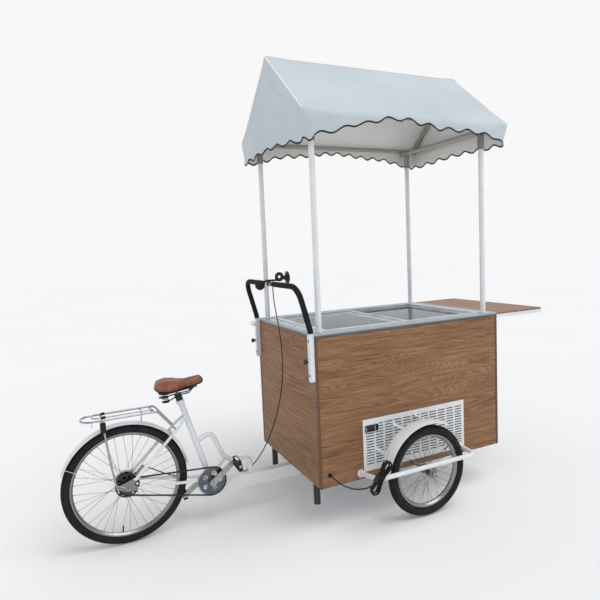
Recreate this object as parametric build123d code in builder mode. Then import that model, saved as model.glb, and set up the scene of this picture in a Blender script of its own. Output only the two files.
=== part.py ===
from build123d import *

import os
from math import acos, atan2, ceil, cos, degrees, pi, radians, sin, sqrt, tan

# A beverage bike: a pedal tricycle whose two front wheels carry a chilled drinks counter under a canopy.
# +X is forward, +Y is the rider's left and +Z is up, all in millimetres. The origin lies on the ground,
# on the middle plane, half way between the back of the rear tyre and the edge of the front shelf.
# Distances called AHEAD or BACK are measured from the counter's rear face.

# Clearances
GAP = 0.3
RUN = 0.05
SLIDE = 0.4

# Counter box
BOX_L = 1296.0
BOX_W = 850.0
BOX_H = 858.0
PANEL_T = 12.0
DECK_T = 2.0
TRIM_T = 1.5
TRIM_H = 22.0
TRIM_TOP_W = 24.0
CORNER_W = 15.0

# Chassis
ANGLE_H = 40.0
ANGLE_T = 4.0
FLOOR_T = 3.0
PIVOT_PLATE_L = 260.0
PIVOT_PLATE_T = 8.0
AXLE_BOSS = 34.0
AXLE_RISE = 26.0

# Front wheels
FRONT_R = 260.0
FRONT_TYRE_W = 54.0
FRONT_BED_R = 205.0
FRONT_RIM_W = 30.0
WHEEL_OUT = 135.0
FRONT_HUB_L = 100.0
FRONT_AXLE_AHEAD = 614.0
FRONT_AXLE_R = 6.0
FRONT_SPOKES = 32
FRONT_HUB_END_R = 11.0
FRONT_HUB_R = 16.0
FRONT_HUB_BODY_L = 68.0
FRONT_FLANGE_Y = 26.0
FRONT_FLANGE_R = 28.0
FRONT_SPOKE_CIRCLE = 24.0
SLEEVE_R = 10.0
NUT_R = 10.0
NUT_L = 9.0
AXLE_END_IN = 0.5

# Wheel guards and front fenders
GUARD_R = 12.5
GUARD_RISE = 48.0
GUARD_BEND = 45.0
GUARD_REAR_AHEAD = 256.0
GUARD_FRONT_AHEAD = 920.0
GUARD_FRONT_SPREAD = 20.0
GUARD_FOOT_DROP = 38.0
GUARD_PLATE_T = 5.0
GUARD_PLATE_W = 46.0
GUARD_PLATE_BEND = 8.0
FLANGE_R = 22.0
FLANGE_T = 5.0
FENDER_GAP = 30.0
FENDER_T = 2.0
FENDER_W = 88.0
FENDER_CROWN = 8.0
FENDER_FRONT_ANGLE = 60.0
FENDER_REAR_ANGLE = 172.0
FENDER_BRACKET_ANGLES = (84.0, 116.0, 152.0)
BRACKET_W = 18.0
BRACKET_T = 2.5
BRACKET_FOOT = 26.0
BRACKET_LAP = 12.0

# Steering
KINGPIN_R = 15.0
KINGPIN_COLLAR_R = 32.0
KINGPIN_NUT_R = 24.0
KINGPIN_NUT_H = 12.0
KINGPIN_WASHER_R = 30.0
KINGPIN_WASHER_T = 4.0
KINGPIN_THREAD = 8.0
STEER_SLEEVE_R = 27.0
BEAM_GAP = 5.0
BEAM_W = 50.0
BEAM_H = 72.0
BEAM_T = 3.0
BEAM_NOSE = 55.0
BEAM_TAIL = 30.0
STEER_LIMIT = 24.0
STOP_AHEAD = 22.0
STOP_R = 19.0
STOP_CORE_R = 11.0
STOP_L = 132.0
STOP_SLEEVE_L = 108.0
STOP_CLEAR = 3.0
STOP_PLATE_T = 3.0

# Rear wheel and its hub
REAR_R = 327.0
REAR_TYRE_W = 50.0
REAR_BED_R = 281.0
REAR_RIM_W = 28.0
REAR_AXLE_BACK = 959.0
REAR_AXLE_R = 5.0
REAR_SPOKES = 36
REAR_HUB_R = 18.0
REAR_HUB_SHOULDER = -28.0
REAR_FLANGE_YS = (-24.0, 28.0)
REAR_FLANGE_R = 33.0
REAR_SPOKE_CIRCLE = 29.0
HUB_RIGHT = -56.0
HUB_LEFT = 36.0
DROPOUT_Y = 67.0
DROPOUT_T = 5.0
DROPOUT_R = 19.0
DROPOUT_NOTCH_R = 19.0
DROPOUT_NOTCH_OUT = 56.0
EYELET_R = 7.0
EYELET_BACK = 52.0
EYELET_RISE = 12.0
DRUM_R = 44.0
DRUM_L = 20.0
DRUM_BASE_T = 4.0
DRUM_WALL = 6.0
DRUM_SINK = 2.0
COVER_R = 52.0
COVER_T = 2.5
COVER_GAP = 3.0
COVER_WALL_GAP = 4.0
SPOKE_DISC_R = 64.0
SPOKE_DISC_T = 2.0
SPOKE_DISC_Y = -32.0
# rings of holes in the spoke disc: how many, their circle's radius, their own radius
SPOKE_DISC_HOLES = ((12, 50.0, 7.0), (8, 33.3, 5.8))
REAR_NUT_L = 8.0
REAR_THREAD_L = 8.0
SPACER_R = 9.0
ARM_AHEAD = 62.0
ARM_RISE = 22.0
ARM_IN = 4.0
ARM_REACH = 34.0
ARM_EYE_R = 9.0
ARM_TIP_R = 7.0
ARM_PIN_R = 4.0
ARM_PIN_L = 10.0
ARM_BARREL_R = 6.0
ARM_BARREL_L = 12.0
ARM_T = 4.0
COVER_LUG_R = 12.0
COVER_LUG_IN = 14.0
COVER_LUG_RISE = 14.0
FREEWHEEL_BOSS_R = 17.0
STAY_EYE_T = 2.5
TYRE_WALL = 5.0
RIM_LIP = 4.0
RIM_WALL = 2.0
RIM_SIDE = 4.0
RIM_DEPTH = 13.0
RIM_NOSE = 5.0
RIM_HOLLOW = 8.0
RIM_HOLLOW_W = 4.0
SPOKE_R = 1.0
SPOKE_LEAD = 58.0
SPOKE_RIM_Y = 2.5
SPOKE_STAGGER = 1.4
SPOKE_SINK = 10.0
HUB_FLANGE_T = 5.0

# Drive
BB_BACK = 502.0
BB_RISE = 23.0
BB_SHELL_R = 21.0
BB_SHELL_L = 68.0
SPINDLE_R = 8.5
CHAIN_PITCH = 12.7
RING_TEETH = 40
COG_TEETH = 22
CHAIN_Y = -47.0
TOOTH_T = 2.2
ROLLER_R = 3.5
CHAIN_PLATE_H = 8.6
CHAIN_PLATE_T = 1.2
CHAIN_INNER_W = 4.4
CRANK_L = 168.0
CRANK_Y = 69.0
CRANK_T = 14.0
CRANK_ANGLE = 37.0
CRANK_BOSS_R = 19.0
CRANK_EYE_R = 13.0
CRANK_COLLAR_R = 20.0
RING_HOLES = 5
RING_HOLE_R = 15.0
RING_HOLE_AT = 46.0
RING_HOLE_TURN = 36.0
TOOTH_ROOT_GAP = 0.4
TOOTH_SINK = 1.0
TOOTH_TIP = 3.0
# half widths of a tooth at its root, at the pitch line and at its tip
TOOTH_HALF_WIDTHS = (3.1, 2.1, 1.0)
FREEWHEEL_R = 30.0
FREEWHEEL_GAP = 1.0
FREEWHEEL_DISC_GAP = 4.0
PEDAL_AXLE_R = 6.0
PEDAL_L = 92.0
PEDAL_D = 62.0
PEDAL_H = 24.0
PEDAL_CORE_R = 11.0
PEDAL_PLATE_T = 5.0
PEDAL_PLATE_BEND = 6.0
PEDAL_BAR_W = 10.0
PEDAL_NOTCHES = 5
PEDAL_NOTCH_W = 8.0
PEDAL_NOTCH_D = 3.0
PEDAL_CAP_T = 5.0
PEDAL_CAP_LAP = 1.0
PEDAL_CAP_R = 9.0
PEDAL_TURN = 80.0

# Bicycle frame
SEAT_LEAN = 16.5
SEAT_TUBE_L = 484.0
SEAT_TUBE_R = 17.0
STAY_R = 8.0
STAY_START = 60.0
STAY_TOP_DROP = 70.0
STAY_TOP_Y = 12.0
STAY_KNEE_BACK = 46.0
STAY_WIDE_Y = 46.0
STAY_BEND = 40.0
CHAIN_STAY_STRAIGHT = 98.0
CHAIN_STAY_Y = 24.0
CHAIN_STAY_KNEE_Y = 33.0
CHAIN_STAY_BEND = 200.0
BRIDGE_R = 6.0
COLLAR_T = 4.0
COLLAR_LAP = 4.0
COLLAR_H = 24.0
COLLAR_BOLT_R = 4.0
COLLAR_BOLT_L = 28.0
COLLAR_BOLT_RISE = 10.0
LOOP_TUBE_R = 14.0
LOOP_START = 240.0
LOOP_FOOT_BACK = 256.0
LOOP_VALLEY_RISE = 93.0
# corners of the looped tube: ahead of the crank spindle, above the tube's level stretch
LOOP_CORNERS = ((20.0, 205.0), (84.0, 48.0), (128.0, 12.0))
LOOP_BENDS = (38.0, 60.0, 60.0, 30.0)
STRUT_R = 9.0
STRUT_AHEAD = 96.0
STRUT_RISE = 36.0
SHELL_FOOT_BACK = 26.0
SHELL_FOOT_AHEAD = 34.0
SHELL_FOOT_IN = 5.0
REAR_FENDER_GAP = 16.0
REAR_FENDER_W = 62.0
REAR_FENDER_CROWN = 9.0
REAR_FENDER_BACK_ANGLE = 160.0
REAR_FENDER_FRONT_ANGLE = 6.0
WIRE_ANGLE = 153.0
WIRE_BEND = 80.0
WIRE_KNEE_SHARE = 0.32
WIRE_LAP = 1.0
WIRE_EYE_R = 9.0
WIRE_EYE_LAP = 3.0

# Saddle
POST_R = 13.5
POST_IN_TUBE = 160.0
POST_BORE_SPARE = 60.0
SADDLE_L = 268.5
SADDLE_W = 208.0
SADDLE_NOSE_AHEAD = 128.0
SADDLE_RISE = 90.0
SPRING_WIRE_R = 2.2
SPRING_R = 15.0
SPRING_TURNS = 3
SPRING_Y = 50.0
SPRING_H = 46.0
SPRING_EASE = 9.0
SPRING_AHEAD = 48.0
SPRING_SEAT_T = 4.0
SPRING_SEAT_LAP = 5.0
PAN_T = 4.0
PAN_REAR_R = 36.0
PAN_REAR_AHEAD = 50.0
PAN_REAR_Y = 50.0
PAN_NOSE_R = 13.0
PAN_NOSE_BACK = 45.5
CLAMP_GAP = 2.0
CLAMP_L = 36.0
CLAMP_T = 6.0
CLAMP_CAP = 4.0
YOKE_R = 11.0
YOKE_W = 52.0
YOKE_DROP = 8.0
SADDLE_RAIL_R = 3.5
SADDLE_RAIL_BENDS = (20.0, 30.0, 30.0)
SADDLE_TUCK = 0.86

# Rack
RACK_RISE = 58.0
RACK_Y = 60.0
RACK_TUBE_R = 5.5
RACK_END_BACK = 1163.0
RACK_BEND_BACK = 782.0
RACK_BAR_R = 4.0
RACK_FOOT_BEND = 40.0
RACK_END_BEND = 54.0
RACK_FOOT_DROP = 24.0
RACK_FOOT_OUT = 2.0
RACK_FOOT_GAP = 0.7
LEG_R = 5.0
LEG_OUT = 12.5
LEG_BACK = 1062.0
LEG_BEND = 60.0
LEG_KNEE_BACK = 14.0
LEG_KNEE_RISE = 56.0
LEG_FOOT_DROP = 4.0
LEG_BOLT_R = 6.0
FENDER_STAY_BACK = 859.0
FENDER_STAY_R = 3.0
FENDER_STAY_GAP = 1.2
CLIP_R = 3.5
CLIP_Y = 36.0
CLIP_END_BACK = 1108.0
CLIP_PIVOT_BACK = 805.0
CLIP_BEND = 30.0
CLIP_EYE_W = 8.0
CLIP_EYE_LAP = 1.0

# Handlebar
SOCKET_W = 27.0
SOCKET_Z = 836.0
SOCKET_OFF = 2.0
SOCKET_RISE = 2.0
LUG_W = 14.0
LUG_H = 24.0
LUG_IN = 2.0
LUG_LOW = 20.0
LUG_DROP = 30.0
BOSS_T = 8.0
BOSS_R = 10.0
BOSS_BORE_LAP = 1.0
BAR_R = 11.0
BAR_INSET = 17.0
BAR_LEG = 240.0
BAR_RISE = 257.0
BAR_RAKE = 64.0
BAR_BEND = 75.0
BAR_STRAIGHT = 18.0
KNEE_BEND = 90.0
FOAM_R = 16.0
FOAM_INNER_Y = 78.0
FOAM_LIFT = 4.0
KNOB_Z = 947.0
KNOB_R = 14.0
KNOB_STEM_R = 4.0
KNOB_STEM_IN = 6.0
KNOB_COLLAR_R = 7.2
KNOB_COLLAR_L = 8.0
KNOB_CORE_R = 10.5
KNOB_LOBES = 5
KNOB_LOBE_R = 5.3
KNOB_LOBE_OUT = 8.7
KNOB_EDGE = 1.2
LEVER_Y = -64.0
LEVER_REACH = 13.0
LEVER_DROP = 2.0
LEVER_PIN_R = 3.0
LEVER_T = 7.0
LEVER_EYE_R = 7.5
LEVER_BLADE_R = 5.0
LEVER_SHAPE = ((0.0, 0.0), (20.0, 30.0), (30.0, 80.0), (28.0, 128.0))
PERCH_T = 4.0
PERCH_R = 8.0
PERCH_SLOT_H = 8.0
PERCH_SLOT_R = 9.0
PERCH_LAP = 1.0
BARREL_R = 5.0
BARREL_L = 14.0

# Well, lids and deck
WELL_BACK_AHEAD = 110.0
WELL_FRONT_EDGE = 106.0
WELL_SIDE_EDGE = 85.0
WELL_DEPTH = 400.0
LINER_T = 1.5
FOAM_T = 30.0
RAIL_W = 28.0
RAIL_END_W = 14.0
RAIL_LIP = 2.0
RAIL_SINK = 27.0
RAIL_FLANGE = 4.0
LID_T = 9.0
LID_STEP = 13.0
LID_SEAT = 6.0
LID_GRIP_DEPTH = 12.0
LID_OVERLAP = 60.0
LID_BORDER = 26.0
LID_SLOT_W = 13.0
LID_SLOT_L = 120.0
LID_SLOT_BEND = 5.2
LID_SLOT_DEPTH = 4.5
GLASS_T = 4.0

# Shelves
SHELF_D = 392.0
SHELF_T = 22.0
BOARD_T = 12.0
SHELF_TUBE = 20.0
SHELF_WALL = 1.5
SHELF_DROP = 2.0
SHELF_GAP = 2.0
SHELF_INSET = 2.0
HINGE_R = 6.0
HINGE_PIN_R = 3.0
HINGE_LEAF_T = 2.0
HINGE_L = 90.0
HINGE_DROP = 8.0
HINGE_LEAF_H = 50.0
HINGE_SPREAD = 0.3
BOARD_CORNER = 6.0
SIDE_SHELF_D = 186.0
SIDE_SHELF_T = 30.0
SIDE_SHELF_DROP = 44.0
SIDE_SHELF_INSET = 12.0
SIDE_SHELF_TOP = 4.0
SIDE_SHELF_WALL = 3.0

# Canopy
POST_TUBE_R = 16.0
POST_REAR_AHEAD = 52.0
POST_FRONT_INSET = 64.0
POST_SIDE_INSET = 49.0
POST_FOOT_R = 23.0
POST_FOOT_T = 4.0
ROOF_TUBE_R = 12.5
ROOF_TUBE_WALL = 1.5
CANOPY_BACK = 34.5
CANOPY_FRONT = 65.5
CANOPY_SIDE = 35.0
EAVE_RISE = 1165.0
RIDGE_RISE = 1569.0
CLOTH_T = 3.0
SKIRT_END = 150.0
SKIRT_GABLE = 138.0
SKIRT_SIDE = 42.0
SCALLOP = 116.0
SCALLOP_H = 11.0

# Vent, controller and cooling unit
VENT_AHEAD = 279.0
VENT_L = 734.0
VENT_H = 300.0
VENT_RISE = 38.0
VENT_T = 2.0
VENT_EDGE = 16.0
VENT_COLUMNS = 11
VENT_COLUMN_STEP = 64.2
VENT_ROWS = 15
VENT_ROW_STEP = 16.1
VENT_ROWS_UP = 3.0
SLOT_L = 53.5
SLOT_H = 6.4
VENT_SCREW_IN = 33.0
VENT_SCREW_DOWN = 12.0
VENT_SCREW_R = 4.0
VENT_SCREW_T = 1.6
PANEL_METER_L = 86.0
PANEL_METER_H = 37.0
METER_IN = 14.0
METER_DOWN = 35.0
METER_MARGIN = 8.0
METER_LAP = 3.0
METER_FACE_T = 6.0
METER_BODY_IN = 4.0
METER_BODY_L = 50.0
WINDOW_IN = 10.0
WINDOW_L = 48.0
WINDOW_EDGE = 8.0
WINDOW_DEPTH = 1.0
BUTTON_IN = 12.0
BUTTON_R = 4.5
BUTTON_DEPTH = 4.0
BUTTON_PROUD = 2.0
BUTTON_STROKE = 1.8
BUTTON_EDGE = 0.8
FAN_R = 100.0
FAN_AHEAD = 264.0
FAN_RISE = 38.0
FAN_CLEAR = 6.0
FAN_BLADES = 5
FAN_BLADE_W = 46.0
FAN_BLADE_T = 3.0
FAN_BLADE_PITCH = 0.6
FAN_BLADE_BACK = 34.0
FAN_ROOT_R = 20.0
FAN_HUB_R = 26.0
FAN_HUB_BACK = 14.0
FAN_HUB_GAP = 4.0
COIL_GAP = 8.0
COIL_D = 64.0
COIL_EDGE = 34.0
COIL_WALL = 10.0
COIL_FINS = 9
FIN_IN = 8.0
FIN_D = 36.0
FIN_T = 3.0
SHROUD_T = 3.0
MOTOR_BACK = 62.0
MOTOR_R = 34.0
MOTOR_L = 60.0
MOTOR_SHAFT_R = 4.0
MOTOR_BORE = 30.0
MOTOR_FOOT_W = 40.0
MOTOR_FOOT_T = 20.0
COMPRESSOR_AHEAD = 528.0
COMPRESSOR_Y = -120.0
COMPRESSOR_R = 82.0
COMPRESSOR_H = 150.0
COMPRESSOR_FOOT_L = 220.0
COMPRESSOR_FOOT_W = 140.0
COMPRESSOR_FOOT_T = 22.0
COMPRESSOR_SINK = 2.0

# Cords
CORD_R = 3.5
CORD_GLAND_AHEAD = 58.0
CORD_GLAND_RISE = 70.0
HANK_TURNS = 4
HANK_A = 90.0
HANK_B = 21.0
HANK_WAIST = 6.0
HANK_STEP = 9.0
HANK_LEAN = 36.5
CABLE_R = 3.0
GLAND_NUT_R = 12.0
GLAND_NUT_T = 8.0
GLAND_CONE_L = 19.0
GLAND_CONE_R = 8.0
GLAND_LIP = 1.0
GLAND_TAIL = 8.0
HANK_AHEAD = 245.0
HANK_RISE = 101.0
HANK_ENTRY = 42.0
HANK_UNEVEN = (0.0, -7.0, 4.0, -3.0, 6.0, -5.0)
HANK_TAIL = 36.0
PLUG_R = 10.0
PLUG_L = 34.0
PLUG_GAP = 5.0
PLUG_SLEEVE_R = 5.0
PLUG_SLEEVE_L = 16.0
PLUG_LAP = 4.0
PIN_R = 2.4
PIN_L = 19.0
PIN_SINK = 1.0
# mains lead: ahead of the rear face, out from the panel, up from the box's bottom
CORD_ROUTE = ((59, 53, 69), (66, 79, 60), (86, 103, 45), (112, 125, 35), (141, 147, 30), (170, 171, 35),
              (194, 193, 49))
# brake cable behind the counter: back from the rear face, to the left, share of the bar's height over the beam
CABLE_DROP = ((78, -64, 0.921), (67, -63, 0.855), (54, -61, 0.785), (44, -60, 0.714), (38, -58, 0.639),
              (35, -54, 0.564), (38, -47, 0.489), (47, -37, 0.416), (61, -26, 0.343), (81, -14, 0.272))
# then along the beam: back from the rear face, to the left, up from the beam's top
CABLE_ALONG = ((107, -3, 227), (139, 8, 153), (178, 19, 85), (226, 28, 29), (286, 33, -5), (353, 34, -19),
               (424, 36, -18), (492, 43, -3), (560, 54, 18), (630, 61, 35))
# then to the brake: ahead of the rear axle, to the left, up from the axle
CABLE_BRAKE = ((257, 66, -39), (191, 66, -5), (143, 57, 33))
CABLE_END_ANGLE = -29.4

# Places worked out from the sizes above
FRONT_REACH = BOX_L + HINGE_LEAF_T + 2 * HINGE_R + SHELF_D
REAR_REACH = REAR_AXLE_BACK + REAR_R
BOX_X0 = (REAR_REACH - FRONT_REACH) / 2
BOX_X1 = BOX_X0 + BOX_L
MID_X = (BOX_X0 + BOX_X1) / 2
BOX_Z = FRONT_R - AXLE_RISE
TOP_Z = BOX_Z + BOX_H
HALF_W = BOX_W / 2
INSIDE_L = BOX_L - 2 * PANEL_T
INSIDE_W = BOX_W - 2 * PANEL_T
WHEEL_Y = HALF_W + WHEEL_OUT
BAR_Y = HALF_W - BAR_INSET
PIVOT_X = BOX_X0 + FRONT_AXLE_AHEAD
BEAM_TOP = BOX_Z - BEAM_GAP
BEAM_BOTTOM = BEAM_TOP - BEAM_H
REAR_X = BOX_X0 - REAR_AXLE_BACK
BB_X = BOX_X0 - BB_BACK
BB_Z = BEAM_TOP + BB_RISE
BB = Vector(BB_X, 0, BB_Z)
SEAT_DIR = Vector(-sin(radians(SEAT_LEAN)), 0, cos(radians(SEAT_LEAN)))
SEAT_TOP = BB + SEAT_DIR * SEAT_TUBE_L
RACK_Z = 2 * REAR_R + RACK_RISE
MIN_END = (Align.CENTER, Align.CENTER, Align.MIN)

os.makedirs("parts", exist_ok=True)


def ahead(distance):
    """X of a place that lies ahead of the counter's rear face."""
    return BOX_X0 + distance


def back(distance):
    """X of a place that lies behind the counter's rear face."""
    return BOX_X0 - distance


def on_seat_tube(distance):
    """A point on the seat tube's axis, measured up from the crank spindle."""
    return BB + SEAT_DIR * distance


def write(piece, name):
    """Label a finished piece and write it under its node's name."""
    piece.part.label = name
    export_step(piece.part, f"parts/{name}.step")


def axle_plane(center, angle=90.0):
    """Plane through a wheel's axis: its X runs along the axle, its Y outwards at the given angle."""
    turn = radians(angle)
    return Plane(origin=center, x_dir=(0, 1, 0), z_dir=(sin(turn), 0, -cos(turn)))


def side_plane(center):
    """Upright lengthwise plane: its X runs forward, its Y up, and it faces right."""
    return Plane(origin=center, x_dir=(1, 0, 0), z_dir=(0, -1, 0))


def upright(x, y, z0, z1, radius, mode=Mode.ADD):
    """A round bar along Z."""
    with Locations((x, y, z0)):
        Cylinder(radius, z1 - z0, align=MIN_END, mode=mode)


def across(x, z, y0, y1, radius, mode=Mode.ADD):
    """A round bar along Y."""
    with Locations(Location((x, max(y0, y1), z), (90, 0, 0))):
        Cylinder(radius, abs(y1 - y0), align=MIN_END, mode=mode)


def lengthwise(y, z, x0, x1, radius, mode=Mode.ADD):
    """A round bar along X."""
    with Locations(Location((x0, y, z), (0, 90, 0))):
        Cylinder(radius, x1 - x0, align=MIN_END, mode=mode)


def block(x0, x1, y0, y1, z0, z1, mode=Mode.ADD):
    """A square-edged block between two corners."""
    with Locations(((x0 + x1) / 2, (y0 + y1) / 2, (z0 + z1) / 2)):
        Box(x1 - x0, abs(y1 - y0), z1 - z0, mode=mode)


def rod(start, end, radius, mode=Mode.ADD):
    """A straight round bar between two points."""
    run = Vector(*end) - Vector(*start)
    with BuildSketch(Plane(origin=start, z_dir=run)) as section:
        Circle(radius)
    return extrude(section.sketch, amount=run.length, mode=mode)


def bent_tube(points, bends, radius, bore=0.0):
    """A round tube along straight runs joined by bends."""
    with BuildLine() as path:
        FilletPolyline(*points, radius=bends)
    route = path.wire()
    with BuildSketch(Plane(origin=route @ 0, z_dir=route % 0)) as section:
        Circle(radius)
        if bore:
            Circle(bore, mode=Mode.SUBTRACT)
    sweep(section.sketch, path=route)
    return route


def hex_nut(x, z, y0, y1, radius):
    """A hexagon nut on an axle along Y."""
    with BuildSketch(side_plane((x, max(y0, y1), z))) as section:
        RegularPolygon(radius, 6)
    extrude(section.sketch, amount=abs(y1 - y0))


# Chassis: an angle-steel rim, floor plate, pivot plate and axle bosses in one weldment
with BuildPart() as chassis_frame:
    with BuildSketch(Plane((MID_X, 0, BOX_Z))):
        Rectangle(INSIDE_L, INSIDE_W)
        Rectangle(INSIDE_L - 2 * ANGLE_T, INSIDE_W - 2 * ANGLE_T, mode=Mode.SUBTRACT)
    extrude(amount=ANGLE_H)
    with BuildSketch(Plane((MID_X, 0, BOX_Z + ANGLE_H))):
        Rectangle(INSIDE_L, INSIDE_W)
    extrude(amount=FLOOR_T)
    with BuildSketch(Plane((PIVOT_X, 0, BOX_Z))):
        Rectangle(PIVOT_PLATE_L, INSIDE_W)
        Circle(KINGPIN_R + GAP, mode=Mode.SUBTRACT)
    extrude(amount=PIVOT_PLATE_T)
    boss_in = INSIDE_W / 2 - ANGLE_T - AXLE_BOSS
    for side in (-1, 1):
        block(PIVOT_X - AXLE_BOSS / 2, PIVOT_X + AXLE_BOSS / 2, side * boss_in, side * INSIDE_W / 2,
              BOX_Z, BOX_Z + ANGLE_H)
    across(PIVOT_X, FRONT_R, -INSIDE_W / 2, INSIDE_W / 2, FRONT_AXLE_R + GAP, mode=Mode.SUBTRACT)
write(chassis_frame, "chassis_frame")

# Kingpin: shank through plate and beam, thrust collar between them, a nut at each end
with BuildPart() as kingpin:
    washer_z = BEAM_BOTTOM - GAP - KINGPIN_WASHER_T
    plate_top = BOX_Z + PIVOT_PLATE_T
    upright(PIVOT_X, 0, washer_z - KINGPIN_NUT_H - KINGPIN_THREAD, plate_top + KINGPIN_NUT_H + KINGPIN_THREAD,
            KINGPIN_R)
    upright(PIVOT_X, 0, BEAM_TOP + GAP, BOX_Z, KINGPIN_COLLAR_R)
    upright(PIVOT_X, 0, washer_z, BEAM_BOTTOM - GAP, KINGPIN_WASHER_R)
    for nut_z in (washer_z - KINGPIN_NUT_H, plate_top):
        with BuildSketch(Plane((PIVOT_X, 0, nut_z))):
            RegularPolygon(KINGPIN_NUT_R, 6)
        extrude(amount=KINGPIN_NUT_H)
write(kingpin, "kingpin")

# Stub axles: each runs from its boss through the hub to the guard's plate
HUB_IN = WHEEL_Y - FRONT_HUB_L / 2
HUB_OUT = WHEEL_Y + FRONT_HUB_L / 2
GUARD_Y = HUB_OUT + GUARD_PLATE_T
GUARD_Z = FRONT_R + GUARD_RISE
with BuildPart() as front_axles:
    for side in (-1, 1):
        across(PIVOT_X, FRONT_R, side * (boss_in - NUT_L), side * (GUARD_Y + GUARD_R - AXLE_END_IN), FRONT_AXLE_R)
        across(PIVOT_X, FRONT_R, side * INSIDE_W / 2, side * (HUB_IN - GAP), SLEEVE_R)
        across(PIVOT_X, FRONT_R, side * (HUB_OUT + GAP), side * (GUARD_Y - GUARD_PLATE_T / 2 - GAP), SLEEVE_R)
        outer_face = GUARD_Y + GUARD_PLATE_T / 2 + GAP
        hex_nut(PIVOT_X, FRONT_R, side * outer_face, side * (outer_face + NUT_L), NUT_R)
        hex_nut(PIVOT_X, FRONT_R, side * (boss_in - NUT_L), side * (boss_in - GAP), NUT_R)
write(front_axles, "front_axles")

# Vent opening's place on the right panel, which the grille covers
VENT_X0 = ahead(VENT_AHEAD)
VENT_Z0 = BOX_Z + VENT_RISE


def skin(side, x):
    """Distance of the outer skin from the middle plane, which the grille makes thicker on the right."""
    over_grille = side < 0 and VENT_X0 - FLANGE_R < x < VENT_X0 + VENT_L + FLANGE_R
    return HALF_W + (VENT_T + GAP if over_grille else 0)


# Wheel guards: a bent tube round each wheel, with foot flanges and a plate that holds the axle's end
with BuildPart() as wheel_guards:
    for side in (-1, 1):
        rear_x = ahead(GUARD_REAR_AHEAD)
        front_x = ahead(GUARD_FRONT_AHEAD)
        foot_x = front_x + GUARD_FRONT_SPREAD
        rear_foot = (rear_x, side * skin(side, rear_x), GUARD_Z - GUARD_FOOT_DROP)
        front_foot = (foot_x, side * skin(side, foot_x), GUARD_Z)
        bent_tube([
            rear_foot,
            (rear_x, side * GUARD_Y, GUARD_Z),
            (front_x, side * GUARD_Y, GUARD_Z),
            front_foot,
        ], GUARD_BEND, GUARD_R)
        for x, y, z in (rear_foot, front_foot):
            across(x, z, y, y + side * FLANGE_T, FLANGE_R)
            block(x - FLANGE_R, x + FLANGE_R, y - side * FLANGE_R, y, z - FLANGE_R, z + FLANGE_R,
                  mode=Mode.SUBTRACT)
        with BuildSketch(side_plane((PIVOT_X, side * GUARD_Y, FRONT_R))):
            with Locations((0, GUARD_RISE / 2 - GUARD_PLATE_W / 4)):
                RectangleRounded(GUARD_PLATE_W, GUARD_RISE + GUARD_PLATE_W / 2, GUARD_PLATE_BEND)
        extrude(amount=GUARD_PLATE_T / 2, both=True)
        across(PIVOT_X, FRONT_R, side * (GUARD_Y - GUARD_R), side * (GUARD_Y + GUARD_R), FRONT_AXLE_R + GAP,
               mode=Mode.SUBTRACT)
write(wheel_guards, "wheel_guards")

# Front fenders: a crowned strip over each wheel, held to the panel by two flat brackets
FENDER_R = FRONT_R + FENDER_GAP


def fender_section(radius, width, crown, thickness):
    """Arched strip section: X along the axle, Y outwards."""
    with BuildLine() as outline:
        outer = ThreePointArc((-width / 2, radius - crown), (0, radius), (width / 2, radius - crown))
        inner = ThreePointArc((width / 2, radius - crown - thickness), (0, radius - thickness),
                              (-width / 2, radius - crown - thickness))
        Line(outer @ 1, inner @ 0)
        Line(inner @ 1, outer @ 0)
    make_face(outline.line)


with BuildPart() as front_fenders:
    for side in (-1, 1):
        fender_mid = side * (HUB_IN + FENDER_W / 2)
        hub_point = (PIVOT_X, fender_mid, FRONT_R)
        with BuildSketch(axle_plane(hub_point, FENDER_REAR_ANGLE)) as strip:
            fender_section(FENDER_R, FENDER_W, FENDER_CROWN, FENDER_T)
        revolve(strip.sketch, axis=Axis(hub_point, (0, 1, 0)),
                revolution_arc=FENDER_REAR_ANGLE - FENDER_FRONT_ANGLE)
        bracket_r = FENDER_R - FENDER_CROWN - FENDER_T
        for angle in FENDER_BRACKET_ANGLES:
            foot_y = skin(side, PIVOT_X + bracket_r * cos(radians(angle)))
            reach = HUB_IN + BRACKET_LAP - foot_y
            with BuildSketch(axle_plane((PIVOT_X, 0, FRONT_R), angle)):
                with Locations((side * (foot_y + reach / 2), bracket_r)):
                    Rectangle(reach, BRACKET_T)
                with Locations((side * (foot_y + BRACKET_T / 2), bracket_r)):
                    Rectangle(BRACKET_T, BRACKET_FOOT)
            extrude(amount=BRACKET_W / 2, both=True)
write(front_fenders, "front_fenders")

# Steering stops: a post with a rubber sleeve under each side of the box's rear edge
STOP_Y = (FRONT_AXLE_AHEAD - STOP_AHEAD) * tan(radians(STEER_LIMIT))
STOP_Y += BEAM_W / 2 / cos(radians(STEER_LIMIT)) + STOP_R + STOP_CLEAR
with BuildPart() as steering_stops:
    for side in (-1, 1):
        stop_x = ahead(STOP_AHEAD) + STOP_R - STOP_CORE_R
        upright(stop_x, side * STOP_Y, BOX_Z - STOP_L, BOX_Z, STOP_CORE_R)
        upright(stop_x, side * STOP_Y, BOX_Z - STOP_L, BOX_Z - STOP_L + STOP_SLEEVE_L, STOP_R)
        block(ahead(PANEL_T), ahead(PANEL_T) + 2 * STOP_R, side * STOP_Y - STOP_R, side * STOP_Y + STOP_R,
              BOX_Z - STOP_PLATE_T, BOX_Z)
write(steering_stops, "steering_stops")

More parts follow.
